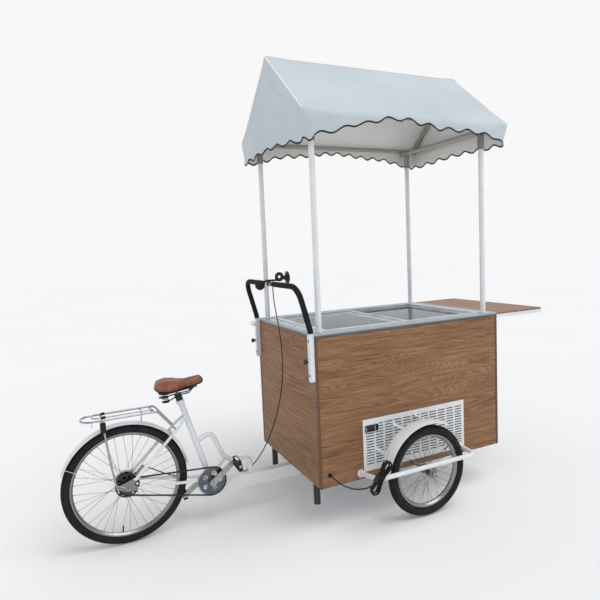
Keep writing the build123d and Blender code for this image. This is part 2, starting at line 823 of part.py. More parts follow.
# Wood panels: the two long sides, with the rear and front panels between them
with BuildPart() as wood_panels:
    panel_top = TOP_Z - DECK_T
    for side in (-1, 1):
        block(BOX_X0, BOX_X1, side * (HALF_W - PANEL_T), side * HALF_W, BOX_Z, panel_top)
    for x in (BOX_X0, BOX_X1 - PANEL_T):
        block(x, x + PANEL_T, -INSIDE_W / 2 + GAP, INSIDE_W / 2 - GAP, BOX_Z, panel_top)
    block(VENT_X0 + VENT_EDGE, VENT_X0 + VENT_L - VENT_EDGE, -HALF_W, -INSIDE_W / 2,
          VENT_Z0 + VENT_EDGE, VENT_Z0 + VENT_H - VENT_EDGE, mode=Mode.SUBTRACT)
    across(PIVOT_X, FRONT_R, -HALF_W, HALF_W, SLEEVE_R + GAP, mode=Mode.SUBTRACT)
    across(ahead(CORD_GLAND_AHEAD), BOX_Z + CORD_GLAND_RISE, -HALF_W, -INSIDE_W / 2, 2 * CORD_R + GAP,
           mode=Mode.SUBTRACT)
write(wood_panels, "wood_panels")

# Metal counter top with the opening for the lid rails
WELL_L = BOX_L - WELL_BACK_AHEAD - WELL_FRONT_EDGE
WELL_W = BOX_W - 2 * WELL_SIDE_EDGE
WELL_X0 = ahead(WELL_BACK_AHEAD)
WELL_X1 = WELL_X0 + WELL_L
WELL_X = (WELL_X0 + WELL_X1) / 2
RAIL_BASE = TOP_Z - RAIL_SINK
RAIL_X0 = WELL_X0 - 2 * RAIL_END_W
RAIL_X1 = WELL_X1 + RAIL_END_W
RAIL_Y = WELL_W / 2
RAIL_OUT_Y = RAIL_Y + RAIL_W
with BuildPart() as top_deck:
    block(BOX_X0, BOX_X1, -HALF_W, HALF_W, TOP_Z - DECK_T, TOP_Z)
    block(RAIL_X0 - GAP, RAIL_X1 + GAP, -RAIL_OUT_Y - GAP, RAIL_OUT_Y + GAP, TOP_Z - DECK_T, TOP_Z,
          mode=Mode.SUBTRACT)
write(top_deck, "top_deck")

# Dark edge trim round the top and at the four upright corners
with BuildPart() as edge_trim:
    with BuildSketch(Plane((MID_X, 0, TOP_Z - TRIM_H))):
        Rectangle(BOX_L + 2 * TRIM_T, BOX_W + 2 * TRIM_T)
        Rectangle(BOX_L, BOX_W, mode=Mode.SUBTRACT)
    extrude(amount=TRIM_H)
    with BuildSketch(Plane((MID_X, 0, TOP_Z))):
        Rectangle(BOX_L + 2 * TRIM_T, BOX_W + 2 * TRIM_T)
        Rectangle(BOX_L - 2 * TRIM_TOP_W, BOX_W - 2 * TRIM_TOP_W, mode=Mode.SUBTRACT)
    extrude(amount=TRIM_T)
    for end in (-1, 1):
        for side in (-1, 1):
            corner_x = MID_X + end * (BOX_L / 2 + TRIM_T)
            corner_y = side * (HALF_W + TRIM_T)
            x_in = corner_x - end * CORNER_W
            y_in = corner_y - side * CORNER_W
            block(min(corner_x, x_in), max(corner_x, x_in), side * HALF_W, corner_y, BOX_Z, TOP_Z - TRIM_H)
            block(min(corner_x, corner_x - end * TRIM_T), max(corner_x, corner_x - end * TRIM_T), y_in, corner_y,
                  BOX_Z, TOP_Z - TRIM_H)
write(edge_trim, "edge_trim")

# Freezer tank: a sheet liner under the lid rails, in a sheet casing; the foam between them is left out
WELL_Z = TOP_Z - WELL_DEPTH
TANK_TOP = TOP_Z - DECK_T - GAP
LINER_TOP = RAIL_BASE - GAP
LINER_L = WELL_L + 2 * LINER_T
LINER_W = WELL_W + 2 * LINER_T
LINER_Z = WELL_Z - LINER_T
CASING_Z = LINER_Z - FOAM_T
with BuildPart() as freezer_tank:
    with BuildSketch(Plane((WELL_X, 0, CASING_Z))):
        Rectangle(LINER_L + 2 * FOAM_T, LINER_W + 2 * FOAM_T)
    extrude(amount=TANK_TOP - CASING_Z)
    with BuildSketch(Plane((WELL_X, 0, CASING_Z + LINER_T))):
        Rectangle(LINER_L + 2 * FOAM_T - 2 * LINER_T, LINER_W + 2 * FOAM_T - 2 * LINER_T)
    extrude(amount=TANK_TOP - CASING_Z - LINER_T, mode=Mode.SUBTRACT)
    with BuildSketch(Plane((WELL_X, 0, LINER_Z))):
        Rectangle(LINER_L, LINER_W)
    extrude(amount=LINER_TOP - LINER_Z)
    with BuildSketch(Plane((WELL_X, 0, WELL_Z))):
        Rectangle(WELL_L, WELL_W)
    extrude(amount=LINER_TOP - WELL_Z, mode=Mode.SUBTRACT)
write(freezer_tank, "freezer_tank")

# Lid rails: a frame let into the deck, hung by its flange, with two grooves one above the other along each side
LOW_LID_Z = RAIL_BASE + LID_SEAT
HIGH_LID_Z = LOW_LID_Z + LID_STEP
RAIL_TOP = HIGH_LID_Z + LID_T + RAIL_LIP
LID_HALF_W = RAIL_Y + LID_GRIP_DEPTH
GROOVE_X0 = RAIL_X0 + RAIL_END_W
GROOVE_X1 = RAIL_X1 - RAIL_END_W
with BuildPart() as lid_rails:
    block(RAIL_X0, RAIL_X1, -RAIL_OUT_Y, RAIL_OUT_Y, RAIL_BASE, TOP_Z)
    block(RAIL_X0 - RAIL_FLANGE, RAIL_X1 + RAIL_FLANGE, -RAIL_OUT_Y - RAIL_FLANGE, RAIL_OUT_Y + RAIL_FLANGE,
          TOP_Z, RAIL_TOP)
    block(GROOVE_X0, GROOVE_X1, -RAIL_Y, RAIL_Y, LOW_LID_Z - SLIDE, RAIL_TOP, mode=Mode.SUBTRACT)
    block(WELL_X0, WELL_X1, -RAIL_Y, RAIL_Y, RAIL_BASE, LOW_LID_Z, mode=Mode.SUBTRACT)
    for lid_z in (LOW_LID_Z, HIGH_LID_Z):
        block(GROOVE_X0, GROOVE_X1, -LID_HALF_W - SLIDE, LID_HALF_W + SLIDE,
              lid_z - SLIDE, lid_z + LID_T + SLIDE, mode=Mode.SUBTRACT)
write(lid_rails, "lid_rails")

# Sliding lids: the rear one runs in the upper groove, the front one in the lower
TRACK_X0 = GROOVE_X0 + SLIDE
TRACK_X1 = GROOVE_X1 - SLIDE
LID_L = (TRACK_X1 - TRACK_X0 + LID_OVERLAP) / 2


def lid_frame(x0, z):
    """Aluminium lid frame with a finger slot near each end."""
    with BuildPart() as piece:
        with BuildSketch(Plane((x0 + LID_L / 2, 0, z))):
            Rectangle(LID_L, 2 * LID_HALF_W)
            Rectangle(LID_L - 2 * LID_BORDER, 2 * (LID_HALF_W - LID_BORDER), mode=Mode.SUBTRACT)
        extrude(amount=LID_T)
        for end in (-1, 1):
            with BuildSketch(Plane((x0 + LID_L / 2 + end * (LID_L - LID_BORDER) / 2, 0, z + LID_T))):
                RectangleRounded(LID_SLOT_W, LID_SLOT_L, LID_SLOT_BEND)
            extrude(amount=-LID_SLOT_DEPTH, mode=Mode.SUBTRACT)
    return piece


def lid_glass(x0, z):
    """Glass pane inside a lid frame."""
    with BuildPart() as piece:
        with BuildSketch(Plane((x0 + LID_L / 2, 0, z + (LID_T - GLASS_T) / 2))):
            Rectangle(LID_L - 2 * LID_BORDER - 2 * GAP, 2 * (LID_HALF_W - LID_BORDER - GAP))
        extrude(amount=GLASS_T)
    return piece


write(lid_frame(TRACK_X0, HIGH_LID_Z), "rear_lid_frame")
write(lid_glass(TRACK_X0, HIGH_LID_Z), "rear_lid_glass")
write(lid_frame(TRACK_X1 - LID_L, LOW_LID_Z), "front_lid_frame")
write(lid_glass(TRACK_X1 - LID_L, LOW_LID_Z), "front_lid_glass")

# Vent grille: a slotted sheet over the opening in the right panel, with corner screws
METER_X0 = VENT_X0 + METER_IN
METER_X1 = METER_X0 + PANEL_METER_L
METER_Z0 = VENT_Z0 + VENT_H - PANEL_METER_H - METER_DOWN
METER_Z1 = METER_Z0 + PANEL_METER_H
with BuildPart() as vent_grille:
    vent_mid = (VENT_X0 + VENT_L / 2, -HALF_W, VENT_Z0 + VENT_H / 2)
    with BuildSketch(side_plane(vent_mid)):
        Rectangle(VENT_L, VENT_H)
        with Locations((0, VENT_ROWS_UP)):
            with GridLocations(VENT_COLUMN_STEP, VENT_ROW_STEP, VENT_COLUMNS, VENT_ROWS):
                SlotOverall(SLOT_L, SLOT_H, mode=Mode.SUBTRACT)
        meter_mid = (METER_X0 + PANEL_METER_L / 2 - vent_mid[0], METER_Z0 + PANEL_METER_H / 2 - vent_mid[2])
        with Locations(meter_mid):
            Rectangle(PANEL_METER_L + 2 * METER_MARGIN, PANEL_METER_H + 2 * METER_MARGIN)
            Rectangle(PANEL_METER_L - 2 * METER_LAP, PANEL_METER_H - 2 * METER_LAP, mode=Mode.SUBTRACT)
    extrude(amount=VENT_T)
    with BuildSketch(side_plane((vent_mid[0], -HALF_W - VENT_T, vent_mid[2]))):
        with GridLocations(VENT_L - 2 * VENT_SCREW_IN, VENT_H - 2 * VENT_SCREW_DOWN, 2, 2):
            Circle(VENT_SCREW_R)
    extrude(amount=VENT_SCREW_T)
write(vent_grille, "vent_grille")

# Temperature controller: bezel on the grille, body behind it, and a power button in its face
METER_Y = -HALF_W - VENT_T - GAP
METER_FACE = METER_Y - METER_FACE_T
METER_MID_Z = (METER_Z0 + METER_Z1) / 2
BUTTON_X = METER_X1 - BUTTON_IN
BUTTON_SEAT = METER_FACE + BUTTON_DEPTH
with BuildPart() as thermostat:
    block(METER_X0, METER_X1, METER_FACE, METER_Y, METER_Z0, METER_Z1)
    block(METER_X0 + METER_BODY_IN, METER_X1 - METER_BODY_IN, METER_Y, METER_Y + METER_BODY_L,
          METER_Z0 + METER_BODY_IN, METER_Z1 - METER_BODY_IN)
    block(METER_X0 + WINDOW_IN, METER_X0 + WINDOW_IN + WINDOW_L, METER_FACE, METER_FACE + WINDOW_DEPTH,
          METER_Z0 + WINDOW_EDGE, METER_Z1 - WINDOW_EDGE, mode=Mode.SUBTRACT)
    across(BUTTON_X, METER_MID_Z, METER_FACE, BUTTON_SEAT, BUTTON_R + GAP, mode=Mode.SUBTRACT)
write(thermostat, "thermostat")

with BuildPart() as power_button:
    across(BUTTON_X, METER_MID_Z, METER_FACE - BUTTON_PROUD, BUTTON_SEAT - BUTTON_STROKE, BUTTON_R)
    fillet(power_button.edges().group_by(Axis.Y)[0], BUTTON_EDGE)
write(power_button, "power_button")

# Cooling unit on the floor behind the grille: condenser, fan shroud, motor and compressor
FLOOR_Z = BOX_Z + ANGLE_H + FLOOR_T
FAN_X = VENT_X0 + FAN_AHEAD
FAN_Z = FLOOR_Z + FAN_R + FAN_RISE
COIL_Y = -INSIDE_W / 2 + COIL_GAP
COIL_HALF_L = FAN_R + COIL_EDGE
COIL_TOP = FAN_Z + COIL_HALF_L
SHROUD_Y = COIL_Y + COIL_D
MOTOR_Y = SHROUD_Y + MOTOR_BACK
COMPRESSOR_X = VENT_X0 + COMPRESSOR_AHEAD
with BuildPart() as cooling_unit:
    coil_x0, coil_x1 = FAN_X - COIL_HALF_L, FAN_X + COIL_HALF_L
    fin_x0, fin_x1 = coil_x0 + COIL_WALL, coil_x1 - COIL_WALL
    fin_z0, fin_z1 = FLOOR_Z + COIL_WALL, COIL_TOP - COIL_WALL
    block(coil_x0, coil_x1, COIL_Y, SHROUD_Y, FLOOR_Z, COIL_TOP)
    block(fin_x0, fin_x1, COIL_Y, SHROUD_Y, fin_z0, fin_z1, mode=Mode.SUBTRACT)
    for index in range(COIL_FINS):
        fin_z = fin_z0 + (index + 0.5) * (fin_z1 - fin_z0) / COIL_FINS
        block(fin_x0, fin_x1, COIL_Y + FIN_IN, COIL_Y + FIN_IN + FIN_D, fin_z - FIN_T / 2, fin_z + FIN_T / 2)
    block(coil_x0, coil_x1, SHROUD_Y, SHROUD_Y + SHROUD_T, FLOOR_Z, COIL_TOP)
    across(FAN_X, FAN_Z, SHROUD_Y, SHROUD_Y + SHROUD_T, FAN_R + FAN_CLEAR, mode=Mode.SUBTRACT)
    across(FAN_X, FAN_Z, MOTOR_Y, MOTOR_Y + MOTOR_L, MOTOR_R)
    foot_y = MOTOR_Y + MOTOR_L / 3
    block(FAN_X - MOTOR_FOOT_W / 2, FAN_X + MOTOR_FOOT_W / 2, foot_y, foot_y + MOTOR_FOOT_T, FLOOR_Z, FAN_Z)
    across(FAN_X, FAN_Z, MOTOR_Y, MOTOR_Y + MOTOR_BORE, MOTOR_SHAFT_R + RUN, mode=Mode.SUBTRACT)
    foot_top = FLOOR_Z + COMPRESSOR_FOOT_T
    dome_z = FLOOR_Z + COMPRESSOR_H
    upright(COMPRESSOR_X, COMPRESSOR_Y, foot_top - COMPRESSOR_SINK, dome_z, COMPRESSOR_R)
    with Locations((COMPRESSOR_X, COMPRESSOR_Y, dome_z)):
        Sphere(COMPRESSOR_R, arc_size1=0)
    with Locations((COMPRESSOR_X, COMPRESSOR_Y, FLOOR_Z)):
        Box(COMPRESSOR_FOOT_L, COMPRESSOR_FOOT_W, COMPRESSOR_FOOT_T, align=MIN_END)
write(cooling_unit, "cooling_unit")

with BuildPart() as condenser_fan:
    hub_end = MOTOR_Y - FAN_HUB_GAP
    across(FAN_X, FAN_Z, SHROUD_Y + FAN_HUB_BACK, hub_end, FAN_HUB_R)
    across(FAN_X, FAN_Z, hub_end, MOTOR_Y + MOTOR_BORE - FAN_HUB_GAP / 2, MOTOR_SHAFT_R)
    blades = []
    for index in range(FAN_BLADES):
        turn = 2 * pi * index / FAN_BLADES
        outwards = Vector(cos(turn), 0, sin(turn))
        sweepwise = Vector(-sin(turn), FAN_BLADE_PITCH, cos(turn)).normalized()
        root = Vector(FAN_X, SHROUD_Y + FAN_BLADE_BACK, FAN_Z) + outwards * FAN_ROOT_R
        with BuildSketch(Plane(origin=root, x_dir=sweepwise, z_dir=outwards)) as blade:
            Rectangle(FAN_BLADE_W, FAN_BLADE_T)
        blades.append(extrude(blade.sketch, amount=FAN_R - FAN_ROOT_R, mode=Mode.PRIVATE))
    add(blades)
write(condenser_fan, "condenser_fan")

# Handlebar sockets: a square tube at each rear corner, with lugs to the panel and a boss for its knob
SOCKET_X = BOX_X0 - SOCKET_OFF - SOCKET_W / 2
SOCKET_TOP = TOP_Z + SOCKET_RISE
with BuildPart() as handlebar_sockets:
    for side in (-1, 1):
        with BuildSketch(Plane((SOCKET_X, side * BAR_Y, SOCKET_Z))):
            Rectangle(SOCKET_W, SOCKET_W)
            Circle(BAR_R + SLIDE, mode=Mode.SUBTRACT)
        extrude(amount=SOCKET_TOP - SOCKET_Z)
        for lug_z in (SOCKET_Z + LUG_LOW, TOP_Z - TRIM_H - LUG_DROP):
            lug_y = side * (HALF_W + TRIM_T - CORNER_W - LUG_IN)
            block(SOCKET_X, BOX_X0, lug_y - side * LUG_W, lug_y, lug_z, lug_z + LUG_H)
        upright(SOCKET_X, side * BAR_Y, SOCKET_Z, SOCKET_TOP, BAR_R + SLIDE, mode=Mode.SUBTRACT)
        boss_x = SOCKET_X - SOCKET_W / 2 - BOSS_T
        lengthwise(side * BAR_Y, KNOB_Z, boss_x, boss_x + BOSS_T, BOSS_R)
        lengthwise(side * BAR_Y, KNOB_Z, boss_x, SOCKET_X - BAR_R - SLIDE + BOSS_BORE_LAP, KNOB_STEM_R + RUN,
                   mode=Mode.SUBTRACT)
write(handlebar_sockets, "handlebar_sockets")


def clamp_knob(y):
    """Lobed hand knob on a threaded stem that presses on the handlebar's leg."""
    with BuildPart() as piece:
        head_x = boss_x - KNOB_COLLAR_L
        lengthwise(y, KNOB_Z, head_x - KNOB_STEM_IN, SOCKET_X - BAR_R - GAP, KNOB_STEM_R)
        lengthwise(y, KNOB_Z, head_x, boss_x - GAP, KNOB_COLLAR_R)
        with BuildSketch(Plane(origin=(head_x, y, KNOB_Z), x_dir=(0, 1, 0), z_dir=(-1, 0, 0))) as head:
            Circle(KNOB_CORE_R)
            with PolarLocations(KNOB_LOBE_OUT, KNOB_LOBES):
                Circle(KNOB_LOBE_R)
        extrude(head.sketch, amount=KNOB_R)
        fillet(piece.edges().group_by(Axis.X)[0], KNOB_EDGE)
    return piece


write(clamp_knob(-BAR_Y), "right_clamp_knob")
write(clamp_knob(BAR_Y), "left_clamp_knob")

# Handlebar: a wide bent tube whose legs slide in the sockets, with the brake lever's perch on its middle
BAR_KNEE_Z = SOCKET_TOP + BAR_STRAIGHT
BAR_TOP = Vector(SOCKET_X - BAR_RAKE, 0, SOCKET_TOP + BAR_RISE)
LEVER_X = BAR_TOP.X + BAR_R + LEVER_REACH
LEVER_Z = BAR_TOP.Z - LEVER_DROP
BARREL_Z = BAR_TOP.Z - BAR_R - BARREL_L
bar_half = [
    (SOCKET_X, -BAR_Y, SOCKET_TOP - BAR_LEG),
    (SOCKET_X, -BAR_Y, BAR_KNEE_Z),
    (BAR_TOP.X, -BAR_Y, BAR_TOP.Z),
]
bar_points = bar_half + [(x, -y, z) for x, y, z in reversed(bar_half)]
with BuildPart() as handlebar:
    bent_tube(bar_points, [KNEE_BEND, BAR_BEND, BAR_BEND, KNEE_BEND], BAR_R)
    perch_y = (LEVER_Y - PERCH_R, LEVER_Y + PERCH_R)
    perch_z = (LEVER_Z - PERCH_R, LEVER_Z + PERCH_R)
    slot_z = (LEVER_Z - PERCH_SLOT_H / 2, LEVER_Z + PERCH_SLOT_H / 2)
    across(BAR_TOP.X, BAR_TOP.Z, *perch_y, BAR_R + PERCH_T)
    block(BAR_TOP.X, LEVER_X, *perch_y, *perch_z)
    upright(LEVER_X, LEVER_Y, *perch_z, PERCH_R)
    block(LEVER_X - PERCH_SLOT_R, LEVER_X + PERCH_SLOT_R, LEVER_Y - PERCH_SLOT_R, LEVER_Y + PERCH_SLOT_R, *slot_z,
          mode=Mode.SUBTRACT)
    block(BAR_TOP.X + BAR_R - PERCH_LAP, LEVER_X - PERCH_SLOT_R, *perch_y, *slot_z)
    upright(LEVER_X, LEVER_Y, perch_z[0] - PERCH_LAP, perch_z[1] + PERCH_LAP, LEVER_PIN_R)
    upright(BAR_TOP.X, LEVER_Y, BARREL_Z, BAR_TOP.Z - BAR_R, BARREL_R)
write(handlebar, "handlebar")

with BuildPart() as brake_lever:
    lever_low = LEVER_Z - LEVER_T / 2
    upright(LEVER_X, LEVER_Y, lever_low, lever_low + LEVER_T, LEVER_EYE_R)
    lever_points = [(LEVER_X + out, LEVER_Y - along) for out, along in LEVER_SHAPE]
    for start, end in zip(lever_points, lever_points[1:]):
        with BuildSketch(Plane((0, 0, lever_low))) as blade:
            with Locations(start, end):
                Circle(LEVER_BLADE_R)
            make_hull()
        extrude(blade.sketch, amount=LEVER_T)
    upright(LEVER_X, LEVER_Y, lever_low, lever_low + LEVER_T, LEVER_PIN_R + RUN, mode=Mode.SUBTRACT)
write(brake_lever, "brake_lever")

# Foam sleeves on the handlebar's uprights and corners
FOAM_BORE = BAR_R + GAP
with BuildPart() as handlebar_foam:
    for side in (-1, 1):
        foam_points = [
            (SOCKET_X, side * BAR_Y, SOCKET_TOP + FOAM_LIFT),
            (SOCKET_X, side * BAR_Y, BAR_KNEE_Z),
            (BAR_TOP.X, side * BAR_Y, BAR_TOP.Z),
            (BAR_TOP.X, side * FOAM_INNER_Y, BAR_TOP.Z),
        ]
        bent_tube(foam_points, [KNEE_BEND, BAR_BEND], FOAM_R, FOAM_BORE)
write(handlebar_foam, "handlebar_foam")

# Bulb horn clamped on the bar's middle: clamp, bent tube, coil and bell, with a rubber bulb behind
HORN_Y = -10.0
HORN_TUBE_R = 6.0
HORN_BEND = 12.0
HORN_CLAMP_W = 14.0
HORN_CLAMP_T = 4.0
HORN_SINK = 2.0
HORN_RUN = 67.0
HORN_COIL_R = 18.5
HORN_COIL_TUBE_R = 10.0
HORN_BELL_R = 39.0
HORN_BELL_L = 38.0
HORN_BELL_T = 2.0
HORN_THROAT_L = 3.0
HORN_THROAT_R = 9.0
HORN_FLARE_X = 23.6
HORN_FLARE_R = 14.0
HORN_BELL_DROP = 8.0
BULB_R = 30.0
BULB_BACK = 58.0
BULB_DROP = 4.0
BULB_NECK_R = 8.0
BULB_NECK_L = 34.0
BULB_BEND_BACK = 18.0
HORN_Z = BAR_TOP.Z + BAR_R + HORN_CLAMP_T + HORN_TUBE_R - HORN_SINK
HORN_COIL = Vector(BAR_TOP.X + HORN_RUN, HORN_Y, HORN_Z + HORN_COIL_R)
HORN_KNEE = Vector(BAR_TOP.X - BULB_BEND_BACK, HORN_Y, HORN_Z)
BULB = Vector(BAR_TOP.X - BULB_BACK, HORN_Y, BAR_TOP.Z - BULB_DROP)
BULB_DIR = (HORN_KNEE - BULB).normalized()
with BuildPart() as horn:
    across(BAR_TOP.X, BAR_TOP.Z, HORN_Y - HORN_CLAMP_W / 2, HORN_Y + HORN_CLAMP_W / 2, BAR_R + HORN_CLAMP_T)
    tube_start = BULB + BULB_DIR * (BULB_NECK_L + GAP)
    bent_tube([tube_start, HORN_KNEE, (HORN_COIL.X, HORN_Y, HORN_Z)], HORN_BEND, HORN_TUBE_R)
    with Locations(Location(HORN_COIL, (90, 0, 0))):
        Torus(HORN_COIL_R, HORN_COIL_TUBE_R)
    bell_base = Vector(HORN_COIL.X + HORN_COIL_R - HORN_TUBE_R, HORN_Y, HORN_COIL.Z - HORN_BELL_DROP)
    with BuildSketch(side_plane(bell_base)):
        with BuildLine():
            flare = ThreePointArc((0, HORN_THROAT_R), (HORN_FLARE_X, HORN_FLARE_R), (HORN_BELL_L, HORN_BELL_R))
            lip = Line(flare @ 1, (HORN_BELL_L + HORN_BELL_T, HORN_BELL_R))
            hollow = ThreePointArc(lip @ 1, (HORN_FLARE_X + HORN_BELL_T, HORN_FLARE_R - HORN_BELL_T),
                                   (HORN_THROAT_L, 0))
            Line(hollow @ 1, (0, 0))
            Line((0, 0), flare @ 0)
        make_face()
    revolve(axis=Axis(bell_base, (1, 0, 0)))
    across(BAR_TOP.X, BAR_TOP.Z, HORN_Y - HORN_CLAMP_W, HORN_Y + HORN_CLAMP_W, BAR_R + GAP, mode=Mode.SUBTRACT)
write(horn, "horn")

with BuildPart() as horn_bulb:
    neck_at = sqrt(BULB_R ** 2 - BULB_NECK_R ** 2)
    with BuildSketch(Plane(origin=BULB, x_dir=BULB_DIR, z_dir=(0, -1, 0))):
        with BuildLine():
            Line((-BULB_R, 0), (BULB_NECK_L, 0))
            Line((BULB_NECK_L, 0), (BULB_NECK_L, BULB_NECK_R))
            Line((BULB_NECK_L, BULB_NECK_R), (neck_at, BULB_NECK_R))
            ThreePointArc((neck_at, BULB_NECK_R), (0, BULB_R), (-BULB_R, 0))
        make_face()
    revolve(axis=Axis(BULB, BULB_DIR))
write(horn_bulb, "horn_bulb")

# Main beam: a rectangular tube from the crank spindle to the kingpin, with the steering sleeve in its nose
BEAM_X0 = BB_X - BEAM_TAIL
BEAM_X1 = PIVOT_X + BEAM_NOSE
BEAM_MID = (BEAM_TOP + BEAM_BOTTOM) / 2
with BuildPart() as main_beam:
    with BuildSketch(Plane(origin=(BEAM_X0, 0, BEAM_MID), x_dir=(0, 1, 0), z_dir=(1, 0, 0))):
        Rectangle(BEAM_W, BEAM_H)
        Rectangle(BEAM_W - 2 * BEAM_T, BEAM_H - 2 * BEAM_T, mode=Mode.SUBTRACT)
    extrude(amount=BEAM_X1 - BEAM_X0)
    block(BEAM_X0, BEAM_X0 + BEAM_T, -BEAM_W / 2, BEAM_W / 2, BEAM_BOTTOM, BEAM_TOP)
    upright(PIVOT_X, 0, BEAM_BOTTOM, BEAM_TOP, STEER_SLEEVE_R)
    upright(PIVOT_X, 0, BEAM_BOTTOM, BEAM_TOP, KINGPIN_R + RUN, mode=Mode.SUBTRACT)
write(main_beam, "main_beam")

# Bicycle frame: seat tube, stays, dropouts, the looped tube down to the beam and the spindle's shell
STAY_TOP = on_seat_tube(SEAT_TUBE_L - STAY_TOP_DROP)
REAR_AXLE = Vector(REAR_X, 0, REAR_R)
STAY_KNEE = STAY_TOP + Vector(-STAY_KNEE_BACK, 0, -STAY_KNEE_BACK)
stay_run = (STAY_KNEE - REAR_AXLE).normalized()
SEAT_STAY_END = REAR_AXLE + stay_run * STAY_START
chain_run = (BB - REAR_AXLE).normalized()
CHAIN_STAY_END = REAR_AXLE + chain_run * STAY_START
DROPOUT_NOTCH = (stay_run + chain_run).normalized() * DROPOUT_NOTCH_OUT
CHAIN_STAY_KNEE = BB - chain_run * CHAIN_STAY_STRAIGHT
REAR_FENDER_R = REAR_R + REAR_FENDER_GAP
BRIDGE = REAR_AXLE + stay_run * (REAR_FENDER_R + BRIDGE_R + GAP)
COLLAR_R = SEAT_TUBE_R + COLLAR_T
COLLAR_TOP = SEAT_TUBE_L + COLLAR_H
POST_BORE_R = POST_R + SLIDE / 2
LOOP_LEVEL = BEAM_TOP + LOOP_VALLEY_RISE
with BuildPart() as bike_frame:
    rod(BB, SEAT_TOP, SEAT_TUBE_R)
    rod(on_seat_tube(SEAT_TUBE_L - COLLAR_LAP), on_seat_tube(COLLAR_TOP), COLLAR_R)
    for side in (-1, 1):
        bent_tube([
            (STAY_TOP.X, side * STAY_TOP_Y, STAY_TOP.Z),
            (STAY_KNEE.X, side * STAY_WIDE_Y, STAY_KNEE.Z),
            (SEAT_STAY_END.X, side * DROPOUT_Y, SEAT_STAY_END.Z),
        ], STAY_BEND, STAY_R)
        bent_tube([
            (BB.X, side * CHAIN_STAY_Y, BB.Z),
            (CHAIN_STAY_KNEE.X, side * CHAIN_STAY_KNEE_Y, CHAIN_STAY_KNEE.Z),
            (CHAIN_STAY_END.X, side * DROPOUT_Y, CHAIN_STAY_END.Z),
        ], CHAIN_STAY_BEND, STAY_R)
        with BuildSketch(side_plane((REAR_X, side * DROPOUT_Y, REAR_R))):
            Circle(DROPOUT_R)
            with Locations((SEAT_STAY_END.X - REAR_X, SEAT_STAY_END.Z - REAR_R),
                           (CHAIN_STAY_END.X - REAR_X, CHAIN_STAY_END.Z - REAR_R)):
                Circle(STAY_R)
            with Locations((-EYELET_BACK, EYELET_RISE)):
                Circle(EYELET_R)
            make_hull()
            with Locations((DROPOUT_NOTCH.X, DROPOUT_NOTCH.Z)):
                Circle(DROPOUT_NOTCH_R, mode=Mode.SUBTRACT)
        extrude(amount=DROPOUT_T / 2, both=True)
    across(BRIDGE.X, BRIDGE.Z, -STAY_WIDE_Y, STAY_WIDE_Y, BRIDGE_R)
    loop_foot_x = back(LOOP_FOOT_BACK)
    loop_points = [on_seat_tube(LOOP_START)]
    loop_points += [(BB_X + forward, 0, LOOP_LEVEL + rise) for forward, rise in LOOP_CORNERS]
    loop_points += [(loop_foot_x, 0, LOOP_LEVEL), (loop_foot_x, 0, BEAM_TOP)]
    bent_tube(loop_points, LOOP_BENDS, LOOP_TUBE_R)
    rod(BB, (BB_X + STRUT_AHEAD, 0, LOOP_LEVEL + STRUT_RISE), STRUT_R)
    across(BB_X, BB_Z, -BB_SHELL_L / 2, BB_SHELL_L / 2, BB_SHELL_R)
    foot_y = BEAM_W / 2 - SHELL_FOOT_IN
    block(BB_X - SHELL_FOOT_BACK, BB_X + SHELL_FOOT_AHEAD, -foot_y, foot_y, BEAM_TOP, BB_Z)
    across(BB_X, BB_Z, -BB_SHELL_L / 2, BB_SHELL_L / 2, SPINDLE_R + RUN, mode=Mode.SUBTRACT)
    rod(on_seat_tube(SEAT_TUBE_L - POST_IN_TUBE - POST_BORE_SPARE), on_seat_tube(COLLAR_TOP), POST_BORE_R,
        mode=Mode.SUBTRACT)
    collar_bolt = on_seat_tube(SEAT_TUBE_L + COLLAR_BOLT_RISE)
    across(collar_bolt.X - COLLAR_R, collar_bolt.Z, -COLLAR_BOLT_L / 2, COLLAR_BOLT_L / 2, COLLAR_BOLT_R)
    across(REAR_X, REAR_R, -DROPOUT_Y - DROPOUT_T, DROPOUT_Y + DROPOUT_T, REAR_AXLE_R + GAP, mode=Mode.SUBTRACT)
write(bike_frame, "bike_frame")


def tyre(center, outer_r, width, bed_r, rim_w):
    """A hollow tyre whose two beads sit in the rim."""
    crown = outer_r - width / 2
    bead = rim_w / 2 - RIM_WALL - GAP
    with BuildPart() as piece:
        with BuildSketch(axle_plane(center)):
            with Locations((0, crown)):
                Circle(width / 2)
                Circle(width / 2 - TYRE_WALL, mode=Mode.SUBTRACT)
                Rectangle(bead, width, align=(Align.CENTER, Align.MAX), mode=Mode.SUBTRACT)
            with Locations((0, bed_r + GAP)):
                Rectangle(2 * width, width, align=(Align.CENTER, Align.MAX), mode=Mode.SUBTRACT)
            with Locations((bead, bed_r + RIM_LIP + GAP)):
                Rectangle(width, width, align=(Align.MIN, Align.MAX), mode=Mode.SUBTRACT)
            with Locations((-bead, bed_r + RIM_LIP + GAP)):
                Rectangle(width, width, align=(Align.MAX, Align.MAX), mode=Mode.SUBTRACT)
        revolve(axis=Axis(center, (0, 1, 0)))
    return piece


def rim(center, bed_r, rim_w):
    """A V-section rim, joined to the wheel being built."""
    half = rim_w / 2
    floor = half - RIM_WALL
    right_half = [(half, bed_r + RIM_LIP), (half, bed_r - RIM_SIDE), (RIM_NOSE, bed_r - RIM_DEPTH)]
    inner_half = [(RIM_HOLLOW_W, bed_r - RIM_HOLLOW), (floor, bed_r), (floor, bed_r + RIM_LIP)]
    outline = right_half + [(-x, y) for x, y in reversed(right_half)]
    outline += [(-x, y) for x, y in reversed(inner_half)] + inner_half
    with BuildSketch(axle_plane(center)) as section:
        with BuildLine() as edge:
            Polyline(*outline, close=True)
        make_face(edge.line)
    revolve(section.sketch, axis=Axis(center, (0, 1, 0)))


